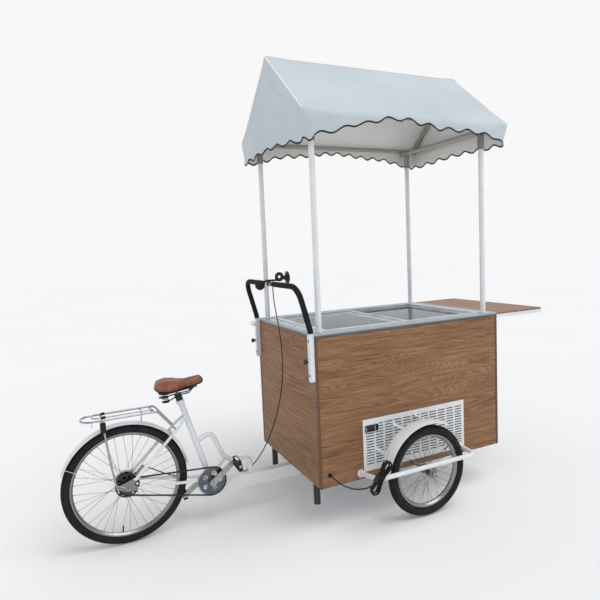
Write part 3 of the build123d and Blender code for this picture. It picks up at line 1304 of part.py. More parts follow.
def spokes(center, count, flange_r, flange_ys, bed_r):
    """Crossed spokes from both hub flanges to the rim, joined to the wheel being built."""
    bars = []
    for index in range(count):
        flange_y = flange_ys[index % 2]
        lead = 1 if index // 2 % 2 else -1
        at_rim = 2 * pi * index / count
        at_hub = at_rim + lead * radians(SPOKE_LEAD)
        rim_y = SPOKE_RIM_Y if flange_y > 0 else -SPOKE_RIM_Y
        start = Vector(flange_r * cos(at_hub), flange_y + SPOKE_STAGGER * lead, flange_r * sin(at_hub)) + center
        seat_r = bed_r - SPOKE_SINK
        end = Vector(seat_r * cos(at_rim), rim_y, seat_r * sin(at_rim)) + center
        bars.append(rod(start, end, SPOKE_R, mode=Mode.PRIVATE))
    add(bars)


def front_wheel(side):
    """Hub, spokes and rim of one front wheel."""
    center = Vector(PIVOT_X, side * WHEEL_Y, FRONT_R)
    with BuildPart() as piece:
        across(PIVOT_X, FRONT_R, center.Y - FRONT_HUB_L / 2, center.Y + FRONT_HUB_L / 2, FRONT_HUB_END_R)
        across(PIVOT_X, FRONT_R, center.Y - FRONT_HUB_BODY_L / 2, center.Y + FRONT_HUB_BODY_L / 2, FRONT_HUB_R)
        for flange in (-FRONT_FLANGE_Y, FRONT_FLANGE_Y):
            across(PIVOT_X, FRONT_R, center.Y + flange - HUB_FLANGE_T / 2, center.Y + flange + HUB_FLANGE_T / 2,
                   FRONT_FLANGE_R)
        rim(center, FRONT_BED_R, FRONT_RIM_W)
        spokes(center, FRONT_SPOKES, FRONT_SPOKE_CIRCLE, (-FRONT_FLANGE_Y, FRONT_FLANGE_Y), FRONT_BED_R)
        across(PIVOT_X, FRONT_R, center.Y - FRONT_HUB_L / 2, center.Y + FRONT_HUB_L / 2, FRONT_AXLE_R + RUN,
               mode=Mode.SUBTRACT)
    return piece


for side, name in ((-1, "right"), (1, "left")):
    write(front_wheel(side), f"{name}_front_wheel")
    wheel_mid = Vector(PIVOT_X, side * WHEEL_Y, FRONT_R)
    write(tyre(wheel_mid, FRONT_R, FRONT_TYRE_W, FRONT_BED_R, FRONT_RIM_W), f"{name}_front_tyre")

# Rear wheel: hub with freewheel boss, spoke disc and brake drum
with BuildPart() as rear_wheel:
    across(REAR_X, REAR_R, REAR_HUB_SHOULDER, HUB_LEFT, REAR_HUB_R)
    across(REAR_X, REAR_R, HUB_RIGHT, REAR_HUB_SHOULDER, FREEWHEEL_BOSS_R)
    for flange in REAR_FLANGE_YS:
        across(REAR_X, REAR_R, flange - HUB_FLANGE_T / 2, flange + HUB_FLANGE_T / 2, REAR_FLANGE_R)
    with BuildSketch(side_plane((REAR_X, SPOKE_DISC_Y + SPOKE_DISC_T, REAR_R))):
        Circle(SPOKE_DISC_R)
        for count, circle_r, hole_r in SPOKE_DISC_HOLES:
            with PolarLocations(circle_r, count):
                Circle(hole_r, mode=Mode.SUBTRACT)
    extrude(amount=SPOKE_DISC_T)
    across(REAR_X, REAR_R, HUB_LEFT - DRUM_SINK, HUB_LEFT + DRUM_L, DRUM_R)
    across(REAR_X, REAR_R, HUB_LEFT + DRUM_BASE_T, HUB_LEFT + DRUM_L, DRUM_R - DRUM_WALL, mode=Mode.SUBTRACT)
    rim(REAR_AXLE, REAR_BED_R, REAR_RIM_W)
    spokes(REAR_AXLE, REAR_SPOKES, REAR_SPOKE_CIRCLE, REAR_FLANGE_YS, REAR_BED_R)
    across(REAR_X, REAR_R, HUB_RIGHT, HUB_LEFT + DRUM_L, REAR_AXLE_R + RUN, mode=Mode.SUBTRACT)
write(rear_wheel, "rear_wheel")
write(tyre(REAR_AXLE, REAR_R, REAR_TYRE_W, REAR_BED_R, REAR_RIM_W), "rear_tyre")

# Rear axle with its nuts, and the band brake's fixed cover with its arm to the chain stay
DROPOUT_OUT = DROPOUT_Y + DROPOUT_T / 2
DROPOUT_IN = DROPOUT_Y - DROPOUT_T / 2
COVER_Y = HUB_LEFT + DRUM_L + COVER_GAP
COVER_FACE = COVER_Y + COVER_T
COVER_EDGE = HUB_LEFT + DRUM_SINK
ARM_PIVOT = Vector(REAR_X + ARM_AHEAD, COVER_Y - ARM_IN, REAR_R + ARM_RISE)
with BuildPart() as rear_axle_brake:
    nut_y = DROPOUT_OUT + STAY_EYE_T + 2 * GAP
    axle_end = nut_y + REAR_NUT_L + REAR_THREAD_L
    across(REAR_X, REAR_R, -DROPOUT_IN + GAP, HUB_RIGHT - GAP, SPACER_R)
    across(REAR_X, REAR_R, COVER_Y, DROPOUT_IN - GAP, SPACER_R)
    for side in (-1, 1):
        hex_nut(REAR_X, REAR_R, side * nut_y, side * (nut_y + REAR_NUT_L), NUT_R)
    across(REAR_X, REAR_R, COVER_EDGE, COVER_FACE, COVER_R)
    across(REAR_X, REAR_R, COVER_EDGE, COVER_Y, DRUM_R + COVER_WALL_GAP, mode=Mode.SUBTRACT)
    with BuildSketch(side_plane((REAR_X, COVER_FACE, REAR_R))):
        with Locations((COVER_R - COVER_LUG_IN, COVER_LUG_RISE)):
            Circle(COVER_LUG_R)
        with Locations((ARM_PIVOT.X - REAR_X, ARM_PIVOT.Z - REAR_R)):
            Circle(ARM_EYE_R)
        make_hull()
    extrude(amount=COVER_T)
    across(ARM_PIVOT.X, ARM_PIVOT.Z, COVER_Y - ARM_PIN_L, COVER_Y, ARM_PIN_R)
    across(REAR_X, REAR_R, -axle_end, axle_end, REAR_AXLE_R)
write(rear_axle_brake, "rear_axle_brake")

with BuildPart() as brake_arm:
    arm_y = COVER_Y - GAP
    ARM_TIP = ARM_PIVOT + Vector(ARM_REACH, 0, ARM_REACH)
    with BuildSketch(side_plane((0, arm_y, 0))):
        with Locations((ARM_PIVOT.X, ARM_PIVOT.Z)):
            Circle(ARM_EYE_R)
        with Locations((ARM_TIP.X, ARM_TIP.Z)):
            Circle(ARM_TIP_R)
        make_hull()
    extrude(amount=ARM_T)
    across(ARM_TIP.X, ARM_TIP.Z, arm_y - ARM_BARREL_L, arm_y, ARM_BARREL_R)
    across(ARM_PIVOT.X, ARM_PIVOT.Z, arm_y - ARM_T, arm_y, ARM_PIN_R + RUN, mode=Mode.SUBTRACT)
write(brake_arm, "brake_arm")

# Drive: the pitch is trimmed so that a whole number of links closes the chain
CENTRES = (REAR_AXLE - BB).length
CENTRE_ANGLE = atan2(REAR_R - BB_Z, REAR_X - BB_X)


def chain_facts(pitch):
    """Pitch radii of ring and cog, half wrap angle on the cog and loop length, for a chain pitch."""
    ring = RING_TEETH * pitch / (2 * pi)
    cog = COG_TEETH * pitch / (2 * pi)
    wrap = acos((ring - cog) / CENTRES)
    straight = sqrt(CENTRES ** 2 - (ring - cog) ** 2)
    return ring, cog, wrap, straight, 2 * straight + 2 * wrap * cog + 2 * (pi - wrap) * ring


LINKS = 2 * round(chain_facts(CHAIN_PITCH)[4] / CHAIN_PITCH / 2)
pitch = CHAIN_PITCH
for _ in range(60):
    pitch = chain_facts(pitch)[4] / LINKS
RING_R, COG_R, WRAP, STRAIGHT, CHAIN_L = chain_facts(pitch)
UP_ANGLE = CENTRE_ANGLE - WRAP
DOWN_ANGLE = CENTRE_ANGLE + WRAP
print(f"chain: {LINKS} links of {pitch:.3f} mm, {CHAIN_L:.0f} mm round")


def polar(center, radius, angle):
    """A point of the drive's plane, at an angle from forward towards up."""
    return (center.X + radius * cos(angle), center.Z + radius * sin(angle))


def chain_point(distance):
    """A point on the chain's pitch line, measured from the top of the chainring backwards."""
    if distance < STRAIGHT:
        share = distance / STRAIGHT
        start, end = polar(BB, RING_R, UP_ANGLE), polar(REAR_AXLE, COG_R, UP_ANGLE)
        return (start[0] + share * (end[0] - start[0]), start[1] + share * (end[1] - start[1]))
    distance -= STRAIGHT
    if distance < 2 * WRAP * COG_R:
        return polar(REAR_AXLE, COG_R, UP_ANGLE + distance / COG_R)
    distance -= 2 * WRAP * COG_R
    if distance < STRAIGHT:
        share = distance / STRAIGHT
        start, end = polar(REAR_AXLE, COG_R, DOWN_ANGLE), polar(BB, RING_R, DOWN_ANGLE)
        return (start[0] + share * (end[0] - start[0]), start[1] + share * (end[1] - start[1]))
    return polar(BB, RING_R, DOWN_ANGLE + (distance - STRAIGHT) / RING_R)


def chain_outline(grow, mode=Mode.ADD):
    """The loop's face, at a distance outside the pitch line."""
    ring, cog = RING_R + grow, COG_R + grow
    with BuildLine() as loop:
        Line(polar(BB, ring, UP_ANGLE), polar(REAR_AXLE, cog, UP_ANGLE))
        ThreePointArc(polar(REAR_AXLE, cog, UP_ANGLE), polar(REAR_AXLE, cog, CENTRE_ANGLE),
                      polar(REAR_AXLE, cog, DOWN_ANGLE))
        Line(polar(REAR_AXLE, cog, DOWN_ANGLE), polar(BB, ring, DOWN_ANGLE))
        ThreePointArc(polar(BB, ring, DOWN_ANGLE), polar(BB, ring, CENTRE_ANGLE + pi), polar(BB, ring, UP_ANGLE))
    make_face(loop.line, mode=mode)


with BuildPart() as chain:
    chain_out = CHAIN_Y - CHAIN_INNER_W / 2
    chain_in = CHAIN_Y + CHAIN_INNER_W / 2 + CHAIN_PLATE_T
    for plate_y in (chain_out, chain_in):
        with BuildSketch(side_plane((0, plate_y, 0))) as plate:
            chain_outline(CHAIN_PLATE_H / 2)
            chain_outline(-CHAIN_PLATE_H / 2, mode=Mode.SUBTRACT)
        extrude(plate.sketch, amount=CHAIN_PLATE_T)
    with BuildSketch(side_plane((0, chain_in - CHAIN_PLATE_T / 2, 0))) as rollers:
        with Locations(*[chain_point(index * pitch) for index in range(LINKS)]):
            Circle(ROLLER_R)
    extrude(rollers.sketch, amount=CHAIN_INNER_W + CHAIN_PLATE_T)
write(chain, "chain")


def sprocket_face(teeth, radius, phase):
    """Toothed outline: a disc to the roller seats and a tooth between each pair of rollers."""
    root = radius - ROLLER_R - TOOTH_ROOT_GAP
    Circle(root)
    flank = list(zip((root - TOOTH_SINK, radius, radius + TOOTH_TIP), TOOTH_HALF_WIDTHS))
    tooth = [(out, -half) for out, half in flank] + list(reversed(flank))
    with PolarLocations(0, teeth, start_angle=degrees(phase)):
        Polygon(*tooth, align=None)


# Crankset: spindle, both cranks with their pedal pins, and the chainring with its round holes
CRANK_DIR = Vector(cos(radians(CRANK_ANGLE)), 0, sin(radians(CRANK_ANGLE)))
PEDAL_OUT = CRANK_Y + CRANK_T / 2 + GAP
with BuildPart() as crankset:
    across(BB_X, BB_Z, -CRANK_Y, CRANK_Y, SPINDLE_R)
    with BuildSketch(side_plane((BB_X, CHAIN_Y + TOOTH_T / 2, BB_Z))) as ring:
        sprocket_face(RING_TEETH, RING_R, UP_ANGLE + pi / RING_TEETH)
        with PolarLocations(RING_HOLE_AT, RING_HOLES, start_angle=CRANK_ANGLE + RING_HOLE_TURN):
            Circle(RING_HOLE_R, mode=Mode.SUBTRACT)
    extrude(ring.sketch, amount=TOOTH_T)
    across(BB_X, BB_Z, -CRANK_Y, CHAIN_Y, CRANK_COLLAR_R)
    for side in (-1, 1):
        pedal = BB + CRANK_DIR * (-side * CRANK_L)
        with BuildSketch(side_plane((0, side * CRANK_Y, 0))) as arm:
            with Locations((BB_X, BB_Z)):
                Circle(CRANK_BOSS_R)
            with Locations((pedal.X, pedal.Z)):
                Circle(CRANK_EYE_R)
            make_hull()
        extrude(arm.sketch, amount=CRANK_T / 2, both=True)
        pedal_end = PEDAL_OUT + PEDAL_L
        across(pedal.X, pedal.Z, side * CRANK_Y, side * (pedal_end + PEDAL_CAP_LAP), PEDAL_AXLE_R)
        across(pedal.X, pedal.Z, side * (pedal_end + GAP), side * (pedal_end + PEDAL_CAP_T), PEDAL_CAP_R)
write(crankset, "crankset")

with BuildPart() as freewheel:
    with BuildSketch(side_plane((REAR_X, CHAIN_Y + TOOTH_T / 2, REAR_R))) as cog:
        first = ceil(STRAIGHT / pitch)
        sprocket_face(COG_TEETH, COG_R, UP_ANGLE + (first * pitch - STRAIGHT) / COG_R + pi / COG_TEETH)
    extrude(cog.sketch, amount=TOOTH_T)
    across(REAR_X, REAR_R, HUB_RIGHT + FREEWHEEL_GAP, SPOKE_DISC_Y - FREEWHEEL_DISC_GAP, FREEWHEEL_R)
    across(REAR_X, REAR_R, HUB_RIGHT, SPOKE_DISC_Y, FREEWHEEL_BOSS_R + RUN, mode=Mode.SUBTRACT)
write(freewheel, "freewheel")


def pedal(side):
    """A cage pedal that turns on its crank's pin, standing nearly on edge at rest."""
    pin = BB + CRANK_DIR * (-side * CRANK_L)
    y0, y1 = side * (PEDAL_OUT + GAP), side * (PEDAL_OUT + PEDAL_L)
    with BuildPart() as piece:
        across(pin.X, pin.Z, y0, y1, PEDAL_CORE_R)
        for plate_y in (y0, y1 - side * PEDAL_PLATE_T):
            plate_left = max(plate_y, plate_y + side * PEDAL_PLATE_T)
            with BuildSketch(side_plane((pin.X, plate_left, pin.Z))) as plate:
                RectangleRounded(PEDAL_D, PEDAL_H, PEDAL_PLATE_BEND)
            extrude(plate.sketch, amount=PEDAL_PLATE_T)
        for end in (-1, 1):
            bar_x = pin.X + end * (PEDAL_D - PEDAL_BAR_W) / 2
            x0, x1 = bar_x - PEDAL_BAR_W / 2, bar_x + PEDAL_BAR_W / 2
            block(x0, x1, y0, y1, pin.Z - PEDAL_H / 2, pin.Z + PEDAL_H / 2)
            for index in range(PEDAL_NOTCHES):
                cut_y = y0 + (y1 - y0) * (index + 1) / (PEDAL_NOTCHES + 1)
                for top in (-1, 1):
                    cut_z = pin.Z + top * PEDAL_H / 2
                    block(x0, x1, cut_y - PEDAL_NOTCH_W / 2, cut_y + PEDAL_NOTCH_W / 2, cut_z - PEDAL_NOTCH_D,
                          cut_z + PEDAL_NOTCH_D, mode=Mode.SUBTRACT)
        across(pin.X, pin.Z, y0, y1, PEDAL_AXLE_R + RUN, mode=Mode.SUBTRACT)
    piece.part = piece.part.rotate(Axis((pin.X, 0, pin.Z), (0, 1, 0)), PEDAL_TURN)
    return piece


write(pedal(-1), "right_pedal")
write(pedal(1), "left_pedal")

# Rear fender with its wire stays
with BuildPart() as rear_fender:
    with BuildSketch(axle_plane(REAR_AXLE, REAR_FENDER_BACK_ANGLE)) as strip:
        fender_section(REAR_FENDER_R, REAR_FENDER_W, REAR_FENDER_CROWN, FENDER_T)
    revolve(strip.sketch, axis=Axis(REAR_AXLE, (0, 1, 0)),
            revolution_arc=REAR_FENDER_BACK_ANGLE - REAR_FENDER_FRONT_ANGLE)
    wire_angle = radians(WIRE_ANGLE)
    edge_r = REAR_FENDER_R - REAR_FENDER_CROWN - FENDER_T / 2
    eye_y = DROPOUT_OUT + GAP + STAY_EYE_T / 2
    for side in (-1, 1):
        wire_points = []
        for reach, y in ((REAR_AXLE_R + WIRE_EYE_LAP, eye_y), (WIRE_KNEE_SHARE * edge_r, eye_y),
                         (edge_r, REAR_FENDER_W / 2 - WIRE_LAP)):
            place = polar(REAR_AXLE, reach, wire_angle)
            wire_points.append((place[0], side * y, place[1]))
        bent_tube(wire_points, WIRE_BEND, STAY_EYE_T / 2)
        across(REAR_X, REAR_R, side * (eye_y - STAY_EYE_T / 2), side * (eye_y + STAY_EYE_T / 2), WIRE_EYE_R)
    across(REAR_X, REAR_R, -2 * eye_y, 2 * eye_y, REAR_AXLE_R + GAP, mode=Mode.SUBTRACT)
write(rear_fender, "rear_fender")

# Rear rack: one bent rail, cross bars, legs to the dropouts and a short stay to the fender
RACK_FOOT = REAR_AXLE + stay_run * ((STAY_KNEE - REAR_AXLE).length - RACK_FOOT_DROP)
RACK_FOOT += Vector(-stay_run.Z, 0, stay_run.X) * (STAY_R + RACK_FOOT_GAP)
LEG_Y = DROPOUT_OUT + LEG_OUT
rack_half = [
    (RACK_FOOT.X, -STAY_WIDE_Y - RACK_FOOT_OUT, RACK_FOOT.Z),
    (back(RACK_BEND_BACK), -RACK_Y, RACK_Z),
    (back(RACK_END_BACK), -RACK_Y, RACK_Z),
]
with BuildPart() as rear_rack:
    bent_tube(rack_half + [(x, -y, z) for x, y, z in reversed(rack_half)],
              [RACK_FOOT_BEND, RACK_END_BEND, RACK_END_BEND, RACK_FOOT_BEND], RACK_TUBE_R)
    for bar_back in (CLIP_PIVOT_BACK, FENDER_STAY_BACK, LEG_BACK):
        across(back(bar_back), RACK_Z, -RACK_Y, RACK_Y, RACK_BAR_R)
    stay_x = back(FENDER_STAY_BACK)
    fender_top = REAR_R + sqrt(REAR_FENDER_R ** 2 - (stay_x - REAR_X) ** 2)
    upright(stay_x, 0, fender_top + FENDER_STAY_GAP, RACK_Z + FENDER_STAY_R, FENDER_STAY_R)
    eyelet_x = REAR_X - EYELET_BACK
    eyelet_z = REAR_R + EYELET_RISE
    for side in (-1, 1):
        bent_tube([
            (back(LEG_BACK), side * RACK_Y, RACK_Z),
            (eyelet_x - LEG_KNEE_BACK, side * LEG_Y, eyelet_z + LEG_KNEE_RISE),
            (eyelet_x, side * LEG_Y, eyelet_z - LEG_FOOT_DROP),
        ], LEG_BEND, LEG_R)
        across(eyelet_x, eyelet_z, side * (DROPOUT_OUT + GAP), side * (LEG_Y + LEG_R), LEG_BOLT_R)
write(rear_rack, "rear_rack")

# Spring clip hinged on the rack's first cross bar
CLIP_Z = RACK_Z + RACK_BAR_R + GAP + CLIP_R
clip_half = [(back(CLIP_PIVOT_BACK), -CLIP_Y, CLIP_Z), (back(CLIP_END_BACK), -CLIP_Y, CLIP_Z)]
with BuildPart() as rack_clip:
    bent_tube(clip_half + [(x, -y, z) for x, y, z in reversed(clip_half)], CLIP_BEND, CLIP_R)
    for eye_mid in (-CLIP_Y, CLIP_Y):
        eye_ys = (eye_mid - CLIP_EYE_W / 2, eye_mid + CLIP_EYE_W / 2)
        across(back(CLIP_PIVOT_BACK), RACK_Z, *eye_ys, CLIP_Z - RACK_Z + CLIP_EYE_LAP)
        across(back(CLIP_PIVOT_BACK), RACK_Z, *eye_ys, RACK_BAR_R + RUN, mode=Mode.SUBTRACT)
write(rack_clip, "rack_clip")


def wound_path(points, directions):
    """A chain of arcs through the points that keeps each point's direction, two arcs to a step."""
    with BuildLine() as path:
        for start, end, leave, arrive in zip(points, points[1:], directions, directions[1:]):
            step = end - start
            spread = 2 * (1 - leave.dot(arrive))
            along = step.dot(leave + arrive)
            if spread < 1e-9:
                reach = step.dot(step) / (4 * step.dot(arrive))
            else:
                reach = (sqrt(along ** 2 + spread * step.dot(step)) - along) / spread
            middle = (start + end + (leave - arrive) * reach) * 0.5
            heading = ((end - arrive * reach) - (start + leave * reach)).normalized()
            for first, last, way in ((start, middle, leave), (middle, end, heading)):
                if (last - first).cross(way).length < 1e-6:
                    Line(first, last)
                else:
                    TangentArc(first, last, tangent=way)
    return path.wire()


def wound_tube(points, directions, radius, name):
    """A round wire along a wound path; prints its length and least gap to itself."""
    path = wound_path(points, directions)
    with BuildSketch(Plane(origin=points[0], z_dir=directions[0])) as section:
        Circle(radius)
    solid = sweep(section.sketch, path=path)
    count = int(path.length / (0.5 * radius))
    places = [path.position_at(index / count) for index in range(count + 1)]
    apart = int(8 * radius / (path.length / count)) + 1
    least = min((a - b).length for index, a in enumerate(places) for b in places[index + apart:])
    print(f"{name}: {path.length:.0f} mm of wire, least gap to itself {least - 2 * radius:.2f} mm")
    return solid


# Seat post, then the saddle's clamp, rails, pan and rear springs
CLAMP_FROM = COLLAR_TOP + CLAMP_GAP
CLAMP_TO = CLAMP_FROM + CLAMP_L
POST_TOP = CLAMP_TO - CLAMP_CAP
with BuildPart() as seatpost:
    rod(on_seat_tube(SEAT_TUBE_L - POST_IN_TUBE), on_seat_tube(POST_TOP - GAP), POST_R)
write(seatpost, "seatpost")

NOSE_X = SEAT_TOP.X + SADDLE_NOSE_AHEAD
SADDLE_BASE_Z = SEAT_TOP.Z + SADDLE_RISE
SADDLE_REAR_X = NOSE_X - SADDLE_L
PAN_Z = SADDLE_BASE_Z - GAP - PAN_T
SPRING_X = SADDLE_REAR_X + SPRING_AHEAD
SPRING_Z = PAN_Z - SPRING_H
YOKE = on_seat_tube(CLAMP_TO - YOKE_DROP)
# a saddle rail from nose to spring: x, distance from the middle plane, z
SADDLE_RAIL = (
    (NOSE_X - PAN_NOSE_BACK - 8, 6, PAN_Z + 1),
    (NOSE_X - PAN_NOSE_BACK - 40, 16, YOKE.Z + 8),
    (YOKE.X, 22, YOKE.Z + 4),
    (SPRING_X + 30, 40, SPRING_Z + 2),
    (SPRING_X, SPRING_Y, SPRING_Z - 1),
)
with BuildPart() as saddle_springs:
    rod(on_seat_tube(CLAMP_FROM), on_seat_tube(CLAMP_TO), POST_R + CLAMP_T)
    across(YOKE.X, YOKE.Z, -YOKE_W / 2, YOKE_W / 2, YOKE_R)
    rod(on_seat_tube(CLAMP_FROM), on_seat_tube(POST_TOP), POST_R + GAP, mode=Mode.SUBTRACT)
    with BuildSketch(Plane((0, 0, PAN_Z))):
        pan_rear_x = SADDLE_REAR_X + PAN_REAR_AHEAD
        with Locations((pan_rear_x, -PAN_REAR_Y), (pan_rear_x, PAN_REAR_Y)):
            Circle(PAN_REAR_R)
        with Locations((NOSE_X - PAN_NOSE_BACK, 0)):
            Circle(PAN_NOSE_R)
        make_hull()
    extrude(amount=PAN_T)
    for side in (-1, 1):
        bent_tube([(x, side * y, z) for x, y, z in SADDLE_RAIL], SADDLE_RAIL_BENDS, SADDLE_RAIL_R)
        upright(SPRING_X, side * SPRING_Y, SPRING_Z - SPRING_SEAT_T, SPRING_Z, SPRING_R + SPRING_SEAT_LAP)
        lead = 2 * SPRING_WIRE_R
        climb = SPRING_H - 2 * lead - 2 * SPRING_EASE
        coil_points = [Vector(SPRING_X + SPRING_R, side * SPRING_Y, SPRING_Z),
                       Vector(SPRING_X + SPRING_R, side * SPRING_Y, SPRING_Z + lead)]
        coil_ways = [Vector(0, 0, 1), Vector(0, 0, 1)]
        steps = 4 * SPRING_TURNS
        for index in range(1, steps):
            turn = 2 * pi * index / 4
            coil_points.append(Vector(SPRING_X + SPRING_R * cos(turn), side * (SPRING_Y + SPRING_R * sin(turn)),
                                      SPRING_Z + lead + SPRING_EASE + climb * (index - 1) / (steps - 2)))
            slope = climb / (steps - 2) / (pi / 2 * SPRING_R)
            coil_ways.append(Vector(-sin(turn), side * cos(turn), slope).normalized())
        coil_points.append(Vector(SPRING_X + SPRING_R, side * SPRING_Y, PAN_Z - lead))
        coil_points.append(Vector(SPRING_X + SPRING_R, side * SPRING_Y, PAN_Z))
        coil_ways += [Vector(0, 0, 1), Vector(0, 0, 1)]
        wound_tube(coil_points, coil_ways, SPRING_WIRE_R, "saddle spring")
write(saddle_springs, "saddle_springs")

# Saddle: a crowned pad, wide behind and with a narrow raised nose, lofted through arched sections
SADDLE_SECTIONS = (
    # share of length from the rear, share of width, lift, side height, crown
    (0.0, 0.62, 0.0, 16.0, 24.0),
    (0.08, 0.86, 0.0, 23.0, 35.0),
    (0.24, 1.0, 0.0, 23.0, 39.0),
    (0.44, 0.74, 0.0, 22.0, 32.0),
    (0.62, 0.40, 0.0, 26.0, 26.0),
    (0.86, 0.27, 0.0, 34.0, 26.0),
    (1.0, 0.14, 12.0, 26.0, 14.0),
)
with BuildPart() as saddle:
    for share, wide, lift, side_h, crown in SADDLE_SECTIONS:
        half = wide * SADDLE_W / 2
        place = Plane(origin=(SADDLE_REAR_X + share * SADDLE_L, 0, SADDLE_BASE_Z + lift), x_dir=(0, 1, 0),
                      z_dir=(1, 0, 0))
        with BuildSketch(place):
            with BuildLine():
                Polyline((half, side_h), (SADDLE_TUCK * half, 0), (-SADDLE_TUCK * half, 0), (-half, side_h))
                ThreePointArc((-half, side_h), (0, side_h + crown), (half, side_h))
            make_face()
    loft()
    block(SADDLE_REAR_X, NOSE_X, -SADDLE_W, SADDLE_W, PAN_Z, SADDLE_BASE_Z, mode=Mode.SUBTRACT)
write(saddle, "saddle")

# Canopy frame: four posts, cross bars on their tops, eave rails, end rails, rafters and ridge
POST_XS = (ahead(POST_REAR_AHEAD), BOX_X1 - POST_FRONT_INSET)
POST_Y = HALF_W - POST_SIDE_INSET
CANOPY_X0 = back(CANOPY_BACK)
CANOPY_X1 = BOX_X1 + CANOPY_FRONT
CANOPY_L = CANOPY_X1 - CANOPY_X0
CANOPY_HALF_W = HALF_W + CANOPY_SIDE
EAVE_Z = TOP_Z + EAVE_RISE
RIDGE_Z = TOP_Z + RIDGE_RISE
ROOF_SLOPE = atan2(RIDGE_Z - EAVE_Z, CANOPY_HALF_W)
UNDER_CLOTH = CLOTH_T + GAP + ROOF_TUBE_R
RIDGE_TUBE_Z = RIDGE_Z - UNDER_CLOTH / cos(ROOF_SLOPE)
EAVE_TUBE_Y = CANOPY_HALF_W - UNDER_CLOTH
EAVE_TUBE_Z = RIDGE_TUBE_Z - EAVE_TUBE_Y * tan(ROOF_SLOPE)
ROOF_X0 = CANOPY_X0 + CLOTH_T + GAP
ROOF_X1 = CANOPY_X1 - CLOTH_T - GAP
BAR_Z = EAVE_TUBE_Z - 2 * ROOF_TUBE_R - GAP
ROOF_BORE_R = ROOF_TUBE_R - ROOF_TUBE_WALL
POST_BORE = POST_TUBE_R - ROOF_TUBE_WALL
with BuildPart() as canopy_frame:
    short = ROOF_TUBE_R + GAP
    for radius, mode in ((ROOF_TUBE_R, Mode.ADD), (ROOF_BORE_R, Mode.SUBTRACT)):
        for post_x in POST_XS:
            across(post_x, BAR_Z, -EAVE_TUBE_Y, EAVE_TUBE_Y, radius, mode=mode)
        lengthwise(0, RIDGE_TUBE_Z, ROOF_X0, ROOF_X1, radius, mode=mode)
        for side in (-1, 1):
            lengthwise(side * EAVE_TUBE_Y, EAVE_TUBE_Z, ROOF_X0, ROOF_X1, radius, mode=mode)
        for gable_x in (ROOF_X0 + ROOF_TUBE_R, ROOF_X1 - ROOF_TUBE_R):
            across(gable_x, EAVE_TUBE_Z, -EAVE_TUBE_Y + short, EAVE_TUBE_Y - short, radius, mode=mode)
            for side in (-1, 1):
                down = Vector(0, side * cos(ROOF_SLOPE), -sin(ROOF_SLOPE))
                ridge_point = Vector(gable_x, 0, RIDGE_TUBE_Z)
                eave_point = Vector(gable_x, side * EAVE_TUBE_Y, EAVE_TUBE_Z)
                rod(ridge_point + down * short, eave_point - down * (2 * ROOF_TUBE_R + short), radius, mode=mode)
    for post_x in POST_XS:
        for side in (-1, 1):
            post_top = BAR_Z - ROOF_TUBE_R - GAP
            upright(post_x, side * POST_Y, TOP_Z, post_top, POST_TUBE_R)
            upright(post_x, side * POST_Y, TOP_Z, TOP_Z + POST_FOOT_T, POST_FOOT_R)
            upright(post_x, side * POST_Y, TOP_Z + POST_FOOT_T, post_top, POST_BORE, mode=Mode.SUBTRACT)
write(canopy_frame, "canopy_frame")


def scalloped_edge(length, middle_drop, end_drop):
    """Skirt below the eave, as a face: straight top, wavy lower edge that arches up in the middle."""
    waves = 2 * round(length / SCALLOP)

    def drop(share):
        return middle_drop + (end_drop - middle_drop) * (2 * share - 1) ** 2

    with BuildLine() as outline:
        for index in range(waves):
            near, far = index / waves, (index + 1) / waves
            bump = SCALLOP_H if index % 2 else -SCALLOP_H
            middle = (near + far) / 2
            ThreePointArc((length * (near - 0.5), -drop(near)), (length * (middle - 0.5), -drop(middle) + bump),
                          (length * (far - 0.5), -drop(far)))
        Polyline((length / 2, -drop(1)), (length / 2, CLOTH_T), (-length / 2, CLOTH_T), (-length / 2, -drop(0)))
    make_face(outline.line)


# Canopy: a gabled cloth shell with skirts, open below
CANOPY_MID_X = (CANOPY_X0 + CANOPY_X1) / 2
cloth_rise = CLOTH_T / cos(ROOF_SLOPE)
cloth_side = RIDGE_Z - cloth_rise - (CANOPY_HALF_W - CLOTH_T) * tan(ROOF_SLOPE)
with BuildPart() as canopy:
    with BuildSketch(Plane(origin=(CANOPY_X0, 0, 0), x_dir=(0, 1, 0), z_dir=(1, 0, 0))):
        Polygon((-CANOPY_HALF_W, EAVE_Z - CLOTH_T), (CANOPY_HALF_W, EAVE_Z - CLOTH_T), (CANOPY_HALF_W, EAVE_Z),
                (0, RIDGE_Z), (-CANOPY_HALF_W, EAVE_Z), align=None)
    extrude(amount=CANOPY_L)
    with BuildSketch(Plane(origin=(CANOPY_X0 + CLOTH_T, 0, 0), x_dir=(0, 1, 0), z_dir=(1, 0, 0))):
        inner_y = CANOPY_HALF_W - CLOTH_T
        Polygon((-inner_y, EAVE_Z - 4 * CLOTH_T), (inner_y, EAVE_Z - 4 * CLOTH_T), (inner_y, cloth_side),
                (0, RIDGE_Z - cloth_rise), (-inner_y, cloth_side), align=None)
    extrude(amount=CANOPY_L - 2 * CLOTH_T, mode=Mode.SUBTRACT)
    for side in (-1, 1):
        skirt_y = side * CANOPY_HALF_W + (CLOTH_T if side < 0 else 0)
        with BuildSketch(side_plane((CANOPY_MID_X, skirt_y, EAVE_Z - CLOTH_T))) as skirt:
            scalloped_edge(CANOPY_L, SKIRT_SIDE, SKIRT_END)
        extrude(skirt.sketch, amount=CLOTH_T)
    for end_x in (CANOPY_X0, CANOPY_X1 - CLOTH_T):
        with BuildSketch(Plane(origin=(end_x, 0, EAVE_Z - CLOTH_T), x_dir=(0, 1, 0), z_dir=(1, 0, 0))) as skirt:
            scalloped_edge(2 * CANOPY_HALF_W, SKIRT_GABLE, SKIRT_END)
        extrude(skirt.sketch, amount=CLOTH_T)
write(canopy, "canopy")

